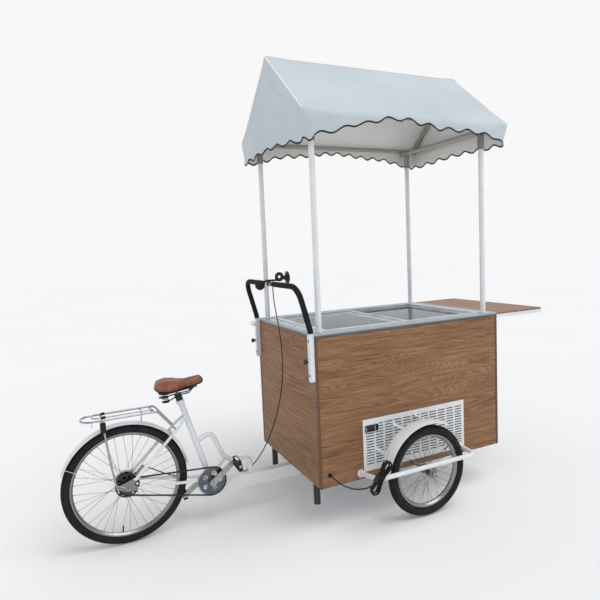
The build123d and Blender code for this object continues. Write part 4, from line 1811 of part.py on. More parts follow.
# Folding shelves: fixed hinge leaves with pins on the box, knuckles on the shelf frames
FRONT_HINGE_X = BOX_X1 + HINGE_LEAF_T + HINGE_R + GAP
FRONT_SHELF_Z = TOP_Z - SHELF_DROP - BOARD_T - SHELF_T
FRONT_HINGE_Z = FRONT_SHELF_Z - HINGE_DROP
FRONT_HINGE_YS = (-HINGE_SPREAD * BOX_W, HINGE_SPREAD * BOX_W)
SIDE_HINGE_Y = HALF_W + HINGE_LEAF_T + HINGE_R + GAP
SIDE_SHELF_Z = TOP_Z - SIDE_SHELF_DROP - SIDE_SHELF_T
SIDE_HINGE_Z = SIDE_SHELF_Z - HINGE_DROP
SIDE_HINGE_XS = (MID_X - HINGE_SPREAD * BOX_L, MID_X + HINGE_SPREAD * BOX_L)
KNUCKLE_L = HINGE_L / 3
with BuildPart() as shelf_hinges:
    for hinge_y in FRONT_HINGE_YS:
        block(BOX_X1, BOX_X1 + HINGE_LEAF_T, hinge_y - HINGE_L / 2, hinge_y + HINGE_L / 2,
              FRONT_HINGE_Z - HINGE_LEAF_H, FRONT_HINGE_Z + HINGE_R)
        across(FRONT_HINGE_X, FRONT_HINGE_Z, hinge_y - HINGE_L / 2, hinge_y + HINGE_L / 2, HINGE_PIN_R)
        for end in (-1, 1):
            near = hinge_y + end * (KNUCKLE_L / 2 + GAP)
            far = hinge_y + end * HINGE_L / 2
            across(FRONT_HINGE_X, FRONT_HINGE_Z, near, far, HINGE_R)
            block(BOX_X1, FRONT_HINGE_X, min(near, far), max(near, far), FRONT_HINGE_Z - HINGE_R, FRONT_HINGE_Z)
    for hinge_x in SIDE_HINGE_XS:
        block(hinge_x - HINGE_L / 2, hinge_x + HINGE_L / 2, HALF_W, HALF_W + HINGE_LEAF_T,
              SIDE_HINGE_Z - HINGE_LEAF_H, SIDE_HINGE_Z + HINGE_R)
        lengthwise(SIDE_HINGE_Y, SIDE_HINGE_Z, hinge_x - HINGE_L / 2, hinge_x + HINGE_L / 2, HINGE_PIN_R)
        for end in (-1, 1):
            near = hinge_x + end * (KNUCKLE_L / 2 + GAP)
            far = hinge_x + end * HINGE_L / 2
            lengthwise(SIDE_HINGE_Y, SIDE_HINGE_Z, min(near, far), max(near, far), HINGE_R)
            block(min(near, far), max(near, far), HALF_W, SIDE_HINGE_Y, SIDE_HINGE_Z - HINGE_R, SIDE_HINGE_Z)
write(shelf_hinges, "shelf_hinges")

# Front shelf: a frame of folded channel under a wood-grain board
SHELF_X0 = BOX_X1 + TRIM_T + SHELF_GAP
SHELF_X1 = ahead(FRONT_REACH)
SHELF_W = BOX_W - 2 * SHELF_INSET
with BuildPart() as front_shelf_frame:
    shelf_x = (SHELF_X0 + SHELF_X1) / 2
    shelf_l = SHELF_X1 - SHELF_X0
    for wall, height, mode in ((0, SHELF_T, Mode.ADD), (SHELF_WALL, SHELF_T - SHELF_WALL, Mode.SUBTRACT)):
        with BuildSketch(Plane((shelf_x, 0, FRONT_SHELF_Z))):
            Rectangle(shelf_l - 2 * wall, SHELF_W - 2 * wall)
            with GridLocations(0, (SHELF_W - SHELF_TUBE) / 2, 1, 2):
                Rectangle(shelf_l - 2 * SHELF_TUBE + 2 * wall, (SHELF_W - 3 * SHELF_TUBE) / 2 + 2 * wall,
                          mode=Mode.SUBTRACT)
        extrude(amount=height, mode=mode)
    for hinge_y in FRONT_HINGE_YS:
        y0, y1 = hinge_y - KNUCKLE_L / 2, hinge_y + KNUCKLE_L / 2
        across(FRONT_HINGE_X, FRONT_HINGE_Z, y0, y1, HINGE_R)
        block(FRONT_HINGE_X - HINGE_LEAF_T, FRONT_HINGE_X + HINGE_R, y0, y1, FRONT_HINGE_Z,
              FRONT_SHELF_Z + SHELF_T - SHELF_WALL)
        across(FRONT_HINGE_X, FRONT_HINGE_Z, y0, y1, HINGE_PIN_R + RUN, mode=Mode.SUBTRACT)
write(front_shelf_frame, "front_shelf_frame")

with BuildPart() as front_shelf_board:
    with BuildSketch(Plane((shelf_x, 0, FRONT_SHELF_Z + SHELF_T))):
        Rectangle(shelf_l, SHELF_W)
    extrude(amount=BOARD_T)
    fillet(front_shelf_board.edges().filter_by(Axis.Z), BOARD_CORNER)
write(front_shelf_board, "front_shelf_board")

# Left shelf: a white folding tray shelf with a lip round its edge
SIDE_X0 = BOX_X0 + SIDE_SHELF_INSET
SIDE_X1 = BOX_X1 - SIDE_SHELF_INSET
SIDE_Y0 = HALF_W + TRIM_T + SHELF_GAP
SIDE_TOP = SIDE_SHELF_Z + SIDE_SHELF_T
SIDE_Y1 = SIDE_HINGE_Y + SIDE_SHELF_D
with BuildPart() as left_shelf:
    block(SIDE_X0, SIDE_X1, SIDE_Y0, SIDE_Y1, SIDE_SHELF_Z, SIDE_TOP)
    block(SIDE_X0 + SIDE_SHELF_WALL, SIDE_X1 - SIDE_SHELF_WALL, SIDE_Y0 + SIDE_SHELF_WALL, SIDE_Y1 - SIDE_SHELF_WALL,
          SIDE_SHELF_Z, SIDE_TOP - SIDE_SHELF_TOP, mode=Mode.SUBTRACT)
    for hinge_x in SIDE_HINGE_XS:
        x0, x1 = hinge_x - KNUCKLE_L / 2, hinge_x + KNUCKLE_L / 2
        lengthwise(SIDE_HINGE_Y, SIDE_HINGE_Z, x0, x1, HINGE_R)
        block(x0, x1, SIDE_HINGE_Y - HINGE_LEAF_T, SIDE_HINGE_Y + HINGE_R, SIDE_HINGE_Z,
              SIDE_TOP - SIDE_SHELF_TOP / 2)
        lengthwise(SIDE_HINGE_Y, SIDE_HINGE_Z, x0, x1, HINGE_PIN_R + RUN, mode=Mode.SUBTRACT)
write(left_shelf, "left_shelf")


def cord_bends(points, name):
    """Largest arc that the two runs beside each corner leave room for."""
    bends = []
    for before, corner, after in zip(points, points[1:], points[2:]):
        into = Vector(*corner) - Vector(*before)
        out = Vector(*after) - Vector(*corner)
        turn = radians(into.get_angle(out))
        bends.append(0.45 * min(into.length, out.length) / tan(turn / 2))
    print(f"{name}: bend radii {[round(bend) for bend in bends]}")
    return bends


def cord(points, radius, name):
    """A cord along a route of points; prints its length and its volume against its section's."""
    with BuildPart() as piece:
        path = bent_tube(points, cord_bends(points, name), radius)
    share = piece.part.volume / (pi * radius ** 2 * path.length)
    print(f"{name}: {path.length:.0f} mm, volume {share:.4f} of section times length")
    return piece


# Mains lead: gland in the right panel, a sagging stretch, a hank tied at the guard's rear corner, a plug
GLAND_X = ahead(CORD_GLAND_AHEAD)
GLAND_Z = BOX_Z + CORD_GLAND_RISE
GLAND_END = -HALF_W - GLAND_NUT_T - GLAND_CONE_L
with BuildPart() as cord_gland:
    across(GLAND_X, GLAND_Z, -HALF_W, -INSIDE_W / 2 + GLAND_TAIL, 2 * CORD_R)
    hex_nut(GLAND_X, GLAND_Z, -HALF_W - GLAND_NUT_T, -HALF_W, GLAND_NUT_R)
    with Locations(Location((GLAND_X, -HALF_W - GLAND_NUT_T, GLAND_Z), (90, 0, 0))):
        Cone(GLAND_CONE_R, CORD_R + GLAND_LIP, GLAND_CONE_L, align=MIN_END)
write(cord_gland, "cord_gland")

lean = radians(HANK_LEAN)
HANK_U = Vector(sin(lean), 0, cos(lean))
HANK_V = Vector(cos(lean), 0, -sin(lean))
HANK_W = Vector(0, -1, 0)
HANK_MID = Vector(ahead(HANK_AHEAD), -(GUARD_Y + GUARD_R + CORD_R + 2 * GAP), BOX_Z + HANK_RISE)
HANK_START = HANK_MID - HANK_V * HANK_WAIST
cord_points = [(GLAND_X, GLAND_END - GAP, GLAND_Z)]
cord_points += [(ahead(forward), -HALF_W - out, BOX_Z + rise) for forward, out, rise in CORD_ROUTE]
cord_points += [HANK_START - HANK_U * HANK_ENTRY, HANK_START]
write(cord(cord_points, CORD_R, "power cord"), "power_cord")

hank_points = [HANK_START]
hank_ways = [HANK_U]


def hank_step(u, v, w, way):
    """Add a point of the hank, in its own directions."""
    hank_points.append(HANK_MID + HANK_U * u + HANK_V * v + HANK_W * w)
    hank_ways.append(way)


hank_step(2 * CORD_R, -HANK_WAIST, 0, HANK_U)
for turn_index in range(HANK_TURNS):
    reach = HANK_A + HANK_UNEVEN[turn_index % len(HANK_UNEVEN)]
    lobe = reach - HANK_B
    rise = HANK_STEP * turn_index
    eighth = HANK_STEP / 8
    if turn_index:
        hank_step(0, -HANK_WAIST, rise, HANK_U)
    hank_step(lobe, -HANK_B, rise + eighth, HANK_U)
    hank_step(reach, 0, rise + 2 * eighth, HANK_V)
    hank_step(lobe, HANK_B, rise + 3 * eighth, -HANK_U)
    hank_step(0, HANK_WAIST, rise + 4 * eighth, -HANK_U)
    hank_step(-lobe, HANK_B, rise + 5 * eighth, -HANK_U)
    hank_step(-reach, 0, rise + 6 * eighth, -HANK_V)
    if turn_index < HANK_TURNS - 1:
        hank_step(-lobe, -HANK_B, rise + 7 * eighth, HANK_U)
tail_v = -HANK_B - CORD_R - PLUG_R - PLUG_GAP
tail_u = -reach + HANK_TAIL
hank_step(tail_u, tail_v, rise + 6 * eighth, HANK_U)
hank_step(tail_u + 2 * CORD_R, tail_v, rise + 6 * eighth, HANK_U)
with BuildPart() as cord_hank:
    wound_tube(hank_points, hank_ways, CORD_R, "cord hank")
write(cord_hank, "cord_hank")

with BuildPart() as power_plug:
    tail = hank_points[-1]
    plug_start = tail + HANK_U * (PLUG_SLEEVE_L - PLUG_LAP)
    plug_end = plug_start + HANK_U * PLUG_L
    rod(tail, tail + HANK_U * PLUG_SLEEVE_L, PLUG_SLEEVE_R)
    rod(plug_start, plug_end, PLUG_R)
    for side in (-1, 1):
        pin_foot = plug_end - HANK_U * PIN_SINK + HANK_W * (side * PLUG_R / 2)
        rod(pin_foot, pin_foot + HANK_U * PIN_L, PIN_R)
write(power_plug, "power_plug")

# Brake cable: from the lever's perch, down behind the counter, along the beam and the left chain stay
cable_way = radians(CABLE_END_ANGLE)
CABLE_END = ARM_TIP + Vector(cos(cable_way), 0, sin(cable_way)) * (ARM_BARREL_R + 2 * GAP)
CABLE_END.Y = arm_y - (ARM_T + ARM_BARREL_L) / 2
BAR_OVER_BEAM = BAR_TOP.Z - BEAM_TOP
cable_points = [(BAR_TOP.X, LEVER_Y, BARREL_Z - GAP)]
cable_points += [(back(rear), y, BEAM_TOP + share * BAR_OVER_BEAM) for rear, y, share in CABLE_DROP]
cable_points += [(back(rear), y, BEAM_TOP + rise) for rear, y, rise in CABLE_ALONG]
cable_points += [(REAR_X + forward, y, REAR_R + rise) for forward, y, rise in CABLE_BRAKE]
cable_points.append(CABLE_END)
write(cord(cable_points, CABLE_R, "brake cable"), "brake_cable")
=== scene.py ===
"""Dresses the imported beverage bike: camera and light, cords, cloth, leather, tyres, paint and wood."""
import math

import bpy
from mathutils import Matrix, Vector, noise


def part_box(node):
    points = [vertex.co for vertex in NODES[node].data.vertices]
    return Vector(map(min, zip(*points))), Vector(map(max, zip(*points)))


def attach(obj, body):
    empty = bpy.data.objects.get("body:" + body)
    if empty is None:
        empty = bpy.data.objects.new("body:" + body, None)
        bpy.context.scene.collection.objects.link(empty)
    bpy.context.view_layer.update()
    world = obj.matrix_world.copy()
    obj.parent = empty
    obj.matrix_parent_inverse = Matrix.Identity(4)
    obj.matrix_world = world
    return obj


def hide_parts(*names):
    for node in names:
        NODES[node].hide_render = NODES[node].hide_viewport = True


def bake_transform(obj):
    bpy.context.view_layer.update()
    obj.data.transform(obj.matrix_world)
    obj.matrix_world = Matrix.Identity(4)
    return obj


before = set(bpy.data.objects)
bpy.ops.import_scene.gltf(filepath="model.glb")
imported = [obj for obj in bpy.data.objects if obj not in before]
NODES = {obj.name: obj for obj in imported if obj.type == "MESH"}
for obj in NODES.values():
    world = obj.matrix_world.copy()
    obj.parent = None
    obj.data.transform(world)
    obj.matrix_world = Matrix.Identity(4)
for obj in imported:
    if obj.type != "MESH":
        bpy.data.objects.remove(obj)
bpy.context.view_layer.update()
bpy.ops.object.select_all(action="DESELECT")

# Places that the CAD nodes give, in metres
PANEL_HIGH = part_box("wood_panels")[1]
DECK_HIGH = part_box("top_deck")[1]
TANK_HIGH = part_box("freezer_tank")[1]
CONTROLLER_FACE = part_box("thermostat")[0].y
CANOPY_LOW, CANOPY_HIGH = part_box("canopy")
SADDLE_LOW, SADDLE_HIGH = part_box("saddle")

# Where a node takes a second colour: round an axle (x, z), across the bike, or by height
REAR_AXLE = (-1.167, 0.327)
FRONT_AXLE = (0.406, 0.260)
REAR_RIM_FROM = 0.262
FRONT_RIM_FROM = 0.185
CHAINRING_SIDES = (-0.0487, -0.0453)
SPOKE_DISC_SIDES = (-0.0347, -0.0313)
STOP_BLACK_BELOW = 0.21
TRIM_BAND_FROM = 1.0685
TRIM_LIP_FROM = 1.0765
TRIM_TOP_FROM = 1.0845
# the height above which the canopy frame's tubes under the roof take painted shade
ROOF_SHADE_FROM = 2.195
AXLE_PLATE_R = 0.0355
DROPOUT_STEEL_R = 0.052

# Camera, fitted to the photograph's box, posts, roof and wheels
CAMERA_PLACE = (-1.4157, -2.861, 1.553)
CAMERA_AZIMUTH = -24.81
CAMERA_DOWN = 5.0
CAMERA_ROLL = 2.54
CAMERA_LENS = 31.02
CAMERA_SHIFT = (0.0023, -0.0108)
# Light: the white room, its ceiling and the sun
ROOM_LIGHT = 0.94
CEILING = (0.40, 0.42, 0.44)
SUN_WAY = (-0.32, 0.30, -1.0)
SUN_LIGHT = 1.50
SUN_SPREAD = 45


def place_camera():
    """The photograph's own viewpoint."""
    turn = Matrix.Rotation(math.radians(CAMERA_AZIMUTH), 4, "Z")
    turn @= Matrix.Rotation(math.radians(90 - CAMERA_DOWN), 4, "X")
    turn @= Matrix.Rotation(math.radians(-CAMERA_ROLL), 4, "Z")
    bpy.ops.object.camera_add(location=CAMERA_PLACE, rotation=turn.to_euler())
    camera = bpy.context.object
    camera.data.sensor_width = 36
    camera.data.lens = CAMERA_LENS
    camera.data.shift_x, camera.data.shift_y = CAMERA_SHIFT
    camera.data.clip_end = 60
    bpy.context.scene.camera = camera


def place_light():
    """A white room with a darker ceiling, and one soft sun high on the camera's right."""
    world = bpy.data.worlds.new("white_room")
    world.use_nodes = True
    tree = world.node_tree
    height = split(tree, node(tree, "TexCoord").outputs["Generated"])["Z"]
    shade = ramp(tree, height, (0.0, (1.0, 1.0, 1.0)), (0.45, (1.0, 1.0, 1.0)), (0.85, CEILING))
    tree.links.new(shade, tree.nodes["Background"].inputs["Color"])
    tree.nodes["Background"].inputs["Strength"].default_value = ROOM_LIGHT
    bpy.context.scene.world = world
    turn = Vector(SUN_WAY).to_track_quat("-Z", "Y").to_euler()
    bpy.ops.object.light_add(type="SUN", location=(2, -4, 6), rotation=turn)
    bpy.context.object.data.energy = SUN_LIGHT
    bpy.context.object.data.angle = math.radians(SUN_SPREAD)
    bpy.context.scene.view_settings.view_transform = "Standard"


def node(tree, kind, inputs=None, **settings):
    """A shader node with its settings; an input is a value or another node's output."""
    made = tree.nodes.new("ShaderNode" + kind)
    for key, value in settings.items():
        setattr(made, key, value)
    for key, value in (inputs or {}).items():
        if isinstance(value, bpy.types.NodeSocket):
            tree.links.new(value, made.inputs[key])
        else:
            made.inputs[key].default_value = value
    return made


def own_place(tree):
    """The piece's own coordinates in metres."""
    return node(tree, "TexCoord").outputs["Object"]


def split(tree, vector):
    """A vector's three parts."""
    return node(tree, "SeparateXYZ", {"Vector": vector}).outputs


def calc(tree, operation, *values):
    """Arithmetic on values or other nodes' outputs."""
    return node(tree, "Math", dict(enumerate(values)), operation=operation).outputs[0]


def mix(tree, share, first, second):
    """Two colours mixed by a share."""
    return node(tree, "MixRGB", {"Fac": share, "Color1": first, "Color2": second}).outputs[0]


def speckle(tree, size, stretch, detail=3.0):
    """Smooth noise whose spots are about size metres across, stretched along the axes."""
    place = node(tree, "Mapping", {"Vector": own_place(tree), "Scale": stretch}).outputs["Vector"]
    return node(tree, "TexNoise", {"Vector": place, "Scale": 1 / size, "Detail": detail}).outputs["Fac"]


def ramp(tree, factor, *stops):
    """Colours or greys along a factor: each stop is (position, colour)."""
    made = node(tree, "ValToRGB", {"Fac": factor})
    points = made.color_ramp.elements
    while len(points) < len(stops):
        points.new(0.5)
    for point, (position, colour) in zip(points, stops):
        point.position = position
        point.color = (*colour, 1) if hasattr(colour, "__len__") else (colour, colour, colour, 1)
    return made.outputs["Color"]


def bump(tree, shader, height, strength, depth):
    """Relief on the surface, in metres deep."""
    made = node(tree, "Bump", {"Height": height, "Strength": strength, "Distance": depth})
    tree.links.new(made.outputs["Normal"], shader.inputs["Normal"])


def finish(name, tones, rough, metal=0.0, blotch=0.12, texture=0.0015, relief=0.12, stretch=(1, 1, 1),
           **sockets):
    """A finish of two tones in soft blotches, with varied gloss and a fine surface texture."""
    material = bpy.data.materials.new(name)
    material.use_nodes = True
    tree = material.node_tree
    shader = tree.nodes["Principled BSDF"]
    shader.inputs["Metallic"].default_value = metal
    patches = speckle(tree, blotch, stretch)
    tree.links.new(ramp(tree, patches, (0.3, tones[0]), (0.7, tones[1])), shader.inputs["Base Color"])
    gloss = speckle(tree, blotch / 3, stretch, 5.0)
    tree.links.new(ramp(tree, gloss, (0.3, rough[0]), (0.7, rough[1])), shader.inputs["Roughness"])
    bump(tree, shader, speckle(tree, texture, stretch), relief, texture)
    for key, value in sockets.items():
        shader.inputs[key.replace("_", " ")].default_value = value
    return material


def white_paint(name, **sockets):
    """White powder paint; a node with a second colour has a paint of its own."""
    return finish(name, WHITE_TONES, (0.28, 0.40), texture=0.0022, relief=0.05, **sockets)


def paint_over(material, reach, low, high, colour):
    """Another colour between low and high: along an axis, or away from a wheel's axle line (x, z)."""
    tree = material.node_tree
    if isinstance(reach, tuple):
        to_axle = {"Vector": own_place(tree), "Location": (-reach[0], 0, -reach[1]), "Scale": (1, 0, 1)}
        moved = node(tree, "Mapping", to_axle).outputs["Vector"]
        amount = node(tree, "VectorMath", {0: moved}, operation="LENGTH").outputs["Value"]
    else:
        amount = split(tree, own_place(tree))[reach]
    inside = calc(tree, "COMPARE", amount, (low + high) / 2, (high - low) / 2)
    socket = tree.nodes["Principled BSDF"].inputs["Base Color"]
    tree.links.new(mix(tree, inside, socket.links[0].from_socket, (*colour, 1)), socket)


# Oak grain: growth lines to the metre, how far the hills bend them, their waver, the two faces' offset
GROWTH_LINES = 78.0
HILL_BEND = 48.0
LINE_WAVER = 1.3
FACE_OFFSET = 3.7
OAK_TONES = ((0.38, (0.110, 0.049, 0.022)), (0.47, (0.218, 0.108, 0.054)), (0.54, (0.288, 0.152, 0.080)),
             (0.63, (0.400, 0.229, 0.128)))
OAK_PORE = (0.105, 0.050, 0.024, 1)


def wood_finish(name, along, up, shine):
    """Oak laminate: growth lines round soft hills, fibres and pores, along an axis or each upright face."""
    material = bpy.data.materials.new(name)
    material.use_nodes = True
    tree = material.node_tree
    shader = tree.nodes["Principled BSDF"]
    place = split(tree, own_place(tree))
    shader.inputs["Specular IOR Level"].default_value = shine
    if along == "faces":
        sideways = split(tree, node(tree, "NewGeometry").outputs["Normal"])["X"]
        either = calc(tree, "GREATER_THAN", calc(tree, "ABSOLUTE", sideways), 0.5)
        shifted = calc(tree, "ADD", place["Y"], FACE_OFFSET)
        run = node(tree, "Mix", {"Factor": either, "A": place["X"], "B": shifted}).outputs[0]
    else:
        run = place[along]
    flat = node(tree, "CombineXYZ", {"X": run, "Y": 0.0, "Z": place[up]}).outputs[0]

    def stretched(scale, detail, distort=0.0):
        spread = node(tree, "Mapping", {"Vector": flat, "Scale": scale}).outputs["Vector"]
        return node(tree, "TexNoise", {"Vector": spread, "Scale": 1.0, "Detail": detail,
                                       "Distortion": distort}).outputs["Fac"]

    hills = stretched((0.75, 1, 5.5), 1.0, 0.1)
    level = calc(tree, "MULTIPLY", place[up], GROWTH_LINES)
    rings = calc(tree, "MULTIPLY_ADD", hills, HILL_BEND, level)
    rings = calc(tree, "MULTIPLY_ADD", stretched((9, 1, 130), 2.0), LINE_WAVER, rings)
    grain = ramp(tree, calc(tree, "FRACT", rings), (0.0, 0.62), (0.16, 0.30), (0.55, 0.50), (1.0, 0.68))
    fibre = stretched((13, 1, 420), 4.0)
    streak = stretched((3.6, 1, 80), 3.0)
    pores = ramp(tree, stretched((32, 1, 760), 2.0), (0.30, 0.75), (0.40, 0.0))
    broad = stretched((0.9, 1, 3.1), 2.0)
    tone = mix(tree, 0.52, grain, fibre)
    tone = mix(tree, 0.40, tone, streak)
    tone = mix(tree, 0.18, tone, broad)
    colour = mix(tree, pores, ramp(tree, tone, *OAK_TONES), OAK_PORE)
    tree.links.new(colour, shader.inputs["Base Color"])
    tree.links.new(ramp(tree, fibre, (0.3, 0.46), (0.7, 0.60)), shader.inputs["Roughness"])
    bump(tree, shader, tone, 0.10, 0.0006)
    return material


place_camera()
place_light()
WHITE_TONES = ((0.67, 0.695, 0.715), (0.75, 0.77, 0.785))
WHITE_PAINT = white_paint("white_powder_paint", Coat_Weight=0.25)
# the canopy frame's white paint, with painted shade on its tubes under the roof
CANOPY_PAINT_AND_SHADE = white_paint("canopy_tube_paint_and_painted_shade")
BIKE_PAINT = white_paint("bike_frame_paint")
GUARD_PAINT = white_paint("guard_paint")
STOP_PAINT = white_paint("stop_paint")
TIE_WEB = finish("post_tie_web", ((0.22, 0.195, 0.165), (0.31, 0.28, 0.24)), (0.75, 0.88), texture=0.0014,
                 relief=0.4)
TRIM_DARK = finish("dark_edge_trim", ((0.050, 0.056, 0.064), (0.085, 0.092, 0.102)), (0.30, 0.46), 0.35)
DECK_STEEL = finish("brushed_deck_steel", ((0.36, 0.40, 0.44), (0.50, 0.54, 0.57)), (0.22, 0.38), 0.95,
                    texture=0.0006, relief=0.10, stretch=(0.04, 1, 1))
LINER = finish("stucco_liner", ((0.078, 0.102, 0.128), (0.120, 0.150, 0.182)), (0.30, 0.45), 0.35,
               texture=0.006, relief=0.55)
LID_ALUMINIUM = finish("anodised_lid_frame", ((0.54, 0.57, 0.61), (0.66, 0.69, 0.72)), (0.28, 0.40), 0.7,
                       texture=0.0008, relief=0.05)
BLACK_PLASTIC = finish("black_moulded_plastic", ((0.008, 0.008, 0.010), (0.016, 0.016, 0.019)), (0.36, 0.52),
                       texture=0.0009, relief=0.10, Specular_IOR_Level=0.3)
CHROME = finish("bright_chrome", ((0.34, 0.34, 0.36), (0.46, 0.46, 0.48)), (0.06, 0.18), 1.0, blotch=0.04,
                relief=0.02)
STEEL = finish("bright_zinc_steel", ((0.30, 0.30, 0.30), (0.44, 0.44, 0.43)), (0.22, 0.38), 1.0, blotch=0.02)
CRANK_STEEL = finish("crank_steel", ((0.30, 0.28, 0.27), (0.46, 0.44, 0.42)), (0.22, 0.38), 1.0, blotch=0.02)
SPOKE_STEEL = ((0.16, 0.15, 0.14), (0.26, 0.25, 0.235))
RIM_GREY = (0.30, 0.29, 0.265)
REAR_SPOKES = finish("rear_wheel_metal", SPOKE_STEEL, (0.22, 0.40), 1.0, blotch=0.02)
FRONT_SPOKES = finish("front_wheel_metal", SPOKE_STEEL, (0.22, 0.40), 1.0, blotch=0.02)
DRIVE_STEEL = finish("dark_drive_steel", ((0.045, 0.038, 0.034), (0.10, 0.088, 0.08)), (0.30, 0.5), 0.9,
                     blotch=0.012)
COOLING = finish("cooling_unit_black", ((0.025, 0.027, 0.03), (0.05, 0.054, 0.06)), (0.4, 0.6), 0.3)
ZINC = finish("yellow_zinc", ((0.36, 0.28, 0.14), (0.46, 0.40, 0.24)), (0.26, 0.42), 0.9, blotch=0.015)
TYRE = finish("tyre_rubber", ((0.008, 0.009, 0.010), (0.018, 0.019, 0.020)), (0.62, 0.80), blotch=0.05,
              texture=0.0012, relief=0.15, Specular_IOR_Level=0.2)
RUBBER = finish("soft_black_rubber", ((0.007, 0.007, 0.008), (0.014, 0.014, 0.016)), (0.45, 0.62),
                Specular_IOR_Level=0.25)
FOAM = finish("grip_foam", ((0.008, 0.009, 0.011), (0.016, 0.017, 0.020)), (0.78, 0.92), blotch=0.03,
              texture=0.0016, relief=0.5, Specular_IOR_Level=0.2)
LEATHER = finish("brown_leather", ((0.190, 0.061, 0.029), (0.262, 0.088, 0.044)), (0.36, 0.54), blotch=0.06,
                 texture=0.0026, relief=0.28)
CLOTH = finish("canopy_cloth", ((0.465, 0.530, 0.575), (0.540, 0.602, 0.642)), (0.62, 0.78), blotch=0.5,
               texture=0.0012, relief=0.25, Sheen_Weight=0.15)
# the cloth's inner side, paler and warmer than its outside: painted light standing in for daylight through
# the cloth
CLOTH_INNER_THROUGH_LIGHT = finish("cloth_inner_side_painted_light", ((0.74, 0.735, 0.71), (0.80, 0.795, 0.77)), (0.70, 0.84), blotch=0.4,
                texture=0.0012, relief=0.25)
# the rafter welts: white cloth brightened well past the canopy cloth, a painted highlight along each welt
WELT_HIGHLIGHT = finish("cloth_welt_painted_highlight", ((0.84, 0.86, 0.87), (0.90, 0.91, 0.92)), (0.55, 0.70), blotch=0.05,
              texture=0.0008)
LEATHER_SEAM = finish("leather_seam", ((0.09, 0.028, 0.014), (0.13, 0.042, 0.021)), (0.45, 0.6), blotch=0.01)
NIPPLE_NICKEL = finish("nickel_nipples", ((0.36, 0.34, 0.31), (0.48, 0.46, 0.42)), (0.25, 0.40), 1.0,
                       blotch=0.01)
BINDING = finish("black_binding_tape", ((0.010, 0.012, 0.017), (0.020, 0.023, 0.031)), (0.7, 0.85),
                 texture=0.0008, relief=0.4)
CHAIN_STEEL = finish("oiled_chain_steel", ((0.030, 0.024, 0.022), (0.07, 0.06, 0.055)), (0.32, 0.55), 0.9,
                     blotch=0.01)
DISPLAY = finish("display_pane", ((0.004, 0.005, 0.006), (0.007, 0.008, 0.010)), (0.10, 0.16), relief=0.0)
PALE_PLASTIC = finish("pale_key_plastic", ((0.58, 0.57, 0.56), (0.66, 0.65, 0.64)), (0.40, 0.52))
REFLECTOR = finish("clear_reflector", ((0.60, 0.58, 0.54), (0.75, 0.73, 0.70)), (0.06, 0.12), 0.6,
                   blotch=0.004)
WOOD = wood_finish("oak_laminate", "faces", "Z", 0.22)
SHELF_WOOD = wood_finish("oak_shelf_top", "Y", "X", 0.70)
GLASS = finish("lid_glass", ((0.80, 0.90, 0.91), (0.84, 0.93, 0.93)), (0.02, 0.04), relief=0.0,
               Transmission_Weight=1.0, IOR=1.07)
paint_over(TRIM_DARK, "Z", 0.0, TRIM_BAND_FROM, (0.125, 0.068, 0.040))
paint_over(TRIM_DARK, "Z", TRIM_LIP_FROM, TRIM_TOP_FROM, (0.135, 0.160, 0.180))
paint_over(TRIM_DARK, "Z", TRIM_TOP_FROM, 1.2, (0.38, 0.42, 0.45))
paint_over(BIKE_PAINT, REAR_AXLE, 0.0, DROPOUT_STEEL_R, (0.21, 0.205, 0.195))
paint_over(GUARD_PAINT, FRONT_AXLE, 0.0, AXLE_PLATE_R, (0.16, 0.165, 0.17))
# Painted shade: the canopy frame's tubes under the roof, above this height, in a warm dark grey for the shade
# and the warm light through the cloth; the posts below keep the white paint
paint_over(CANOPY_PAINT_AND_SHADE, "Z", ROOF_SHADE_FROM, 3.0, (0.34, 0.315, 0.28))
paint_over(STOP_PAINT, "Z", 0.0, STOP_BLACK_BELOW, (0.012, 0.013, 0.016))
paint_over(CRANK_STEEL, "Y", *CHAINRING_SIDES, (0.115, 0.135, 0.155))
paint_over(REAR_SPOKES, "Y", *SPOKE_DISC_SIDES, (0.055, 0.058, 0.058))
paint_over(REAR_SPOKES, REAR_AXLE, REAR_RIM_FROM, 0.4, RIM_GREY)
paint_over(FRONT_SPOKES, FRONT_AXLE, FRONT_RIM_FROM, 0.4, RIM_GREY)

# Which finish each CAD node that stays in sight gets
PAINTED = (
    (STEEL, "kingpin", "front_axles", "rear_axle_brake", "shelf_hinges"),
    (FRONT_SPOKES, "right_front_wheel", "left_front_wheel"),
    (REAR_SPOKES, "rear_wheel"),
    (CRANK_STEEL, "crankset"),
    (DRIVE_STEEL, "freewheel"),
    (STOP_PAINT, "steering_stops"),
    (BIKE_PAINT, "bike_frame"),
    (GUARD_PAINT, "wheel_guards"),
    (CANOPY_PAINT_AND_SHADE, "canopy_frame"),
    (WHITE_PAINT, "chassis_frame", "front_fenders", "vent_grille", "handlebar_sockets", "main_beam",
     "rear_fender", "front_shelf_frame", "left_shelf"),
    (WOOD, "wood_panels"),
    (SHELF_WOOD, "front_shelf_board"),
    (TRIM_DARK, "edge_trim"),
    (DECK_STEEL, "top_deck"),
    (LINER, "freezer_tank"),
    (LID_ALUMINIUM, "lid_rails", "rear_lid_frame", "front_lid_frame"),
    (GLASS, "rear_lid_glass", "front_lid_glass"),
    (BLACK_PLASTIC, "thermostat", "power_button", "right_clamp_knob", "left_clamp_knob", "brake_lever",
     "horn", "right_pedal", "left_pedal", "cord_gland", "power_plug", "saddle_springs"),
    (CHROME, "handlebar", "seatpost", "rear_rack", "rack_clip"),
    (COOLING, "cooling_unit", "condenser_fan"),
    (ZINC, "brake_arm"),
)
for material, *names in PAINTED:
    for name in names:
        NODES[name].data.materials.clear()
        NODES[name].data.materials.append(material)


def settle():
    """Put the active object's place, turn and size into its mesh."""
    bpy.ops.object.transform_apply(location=True, rotation=True, scale=True)


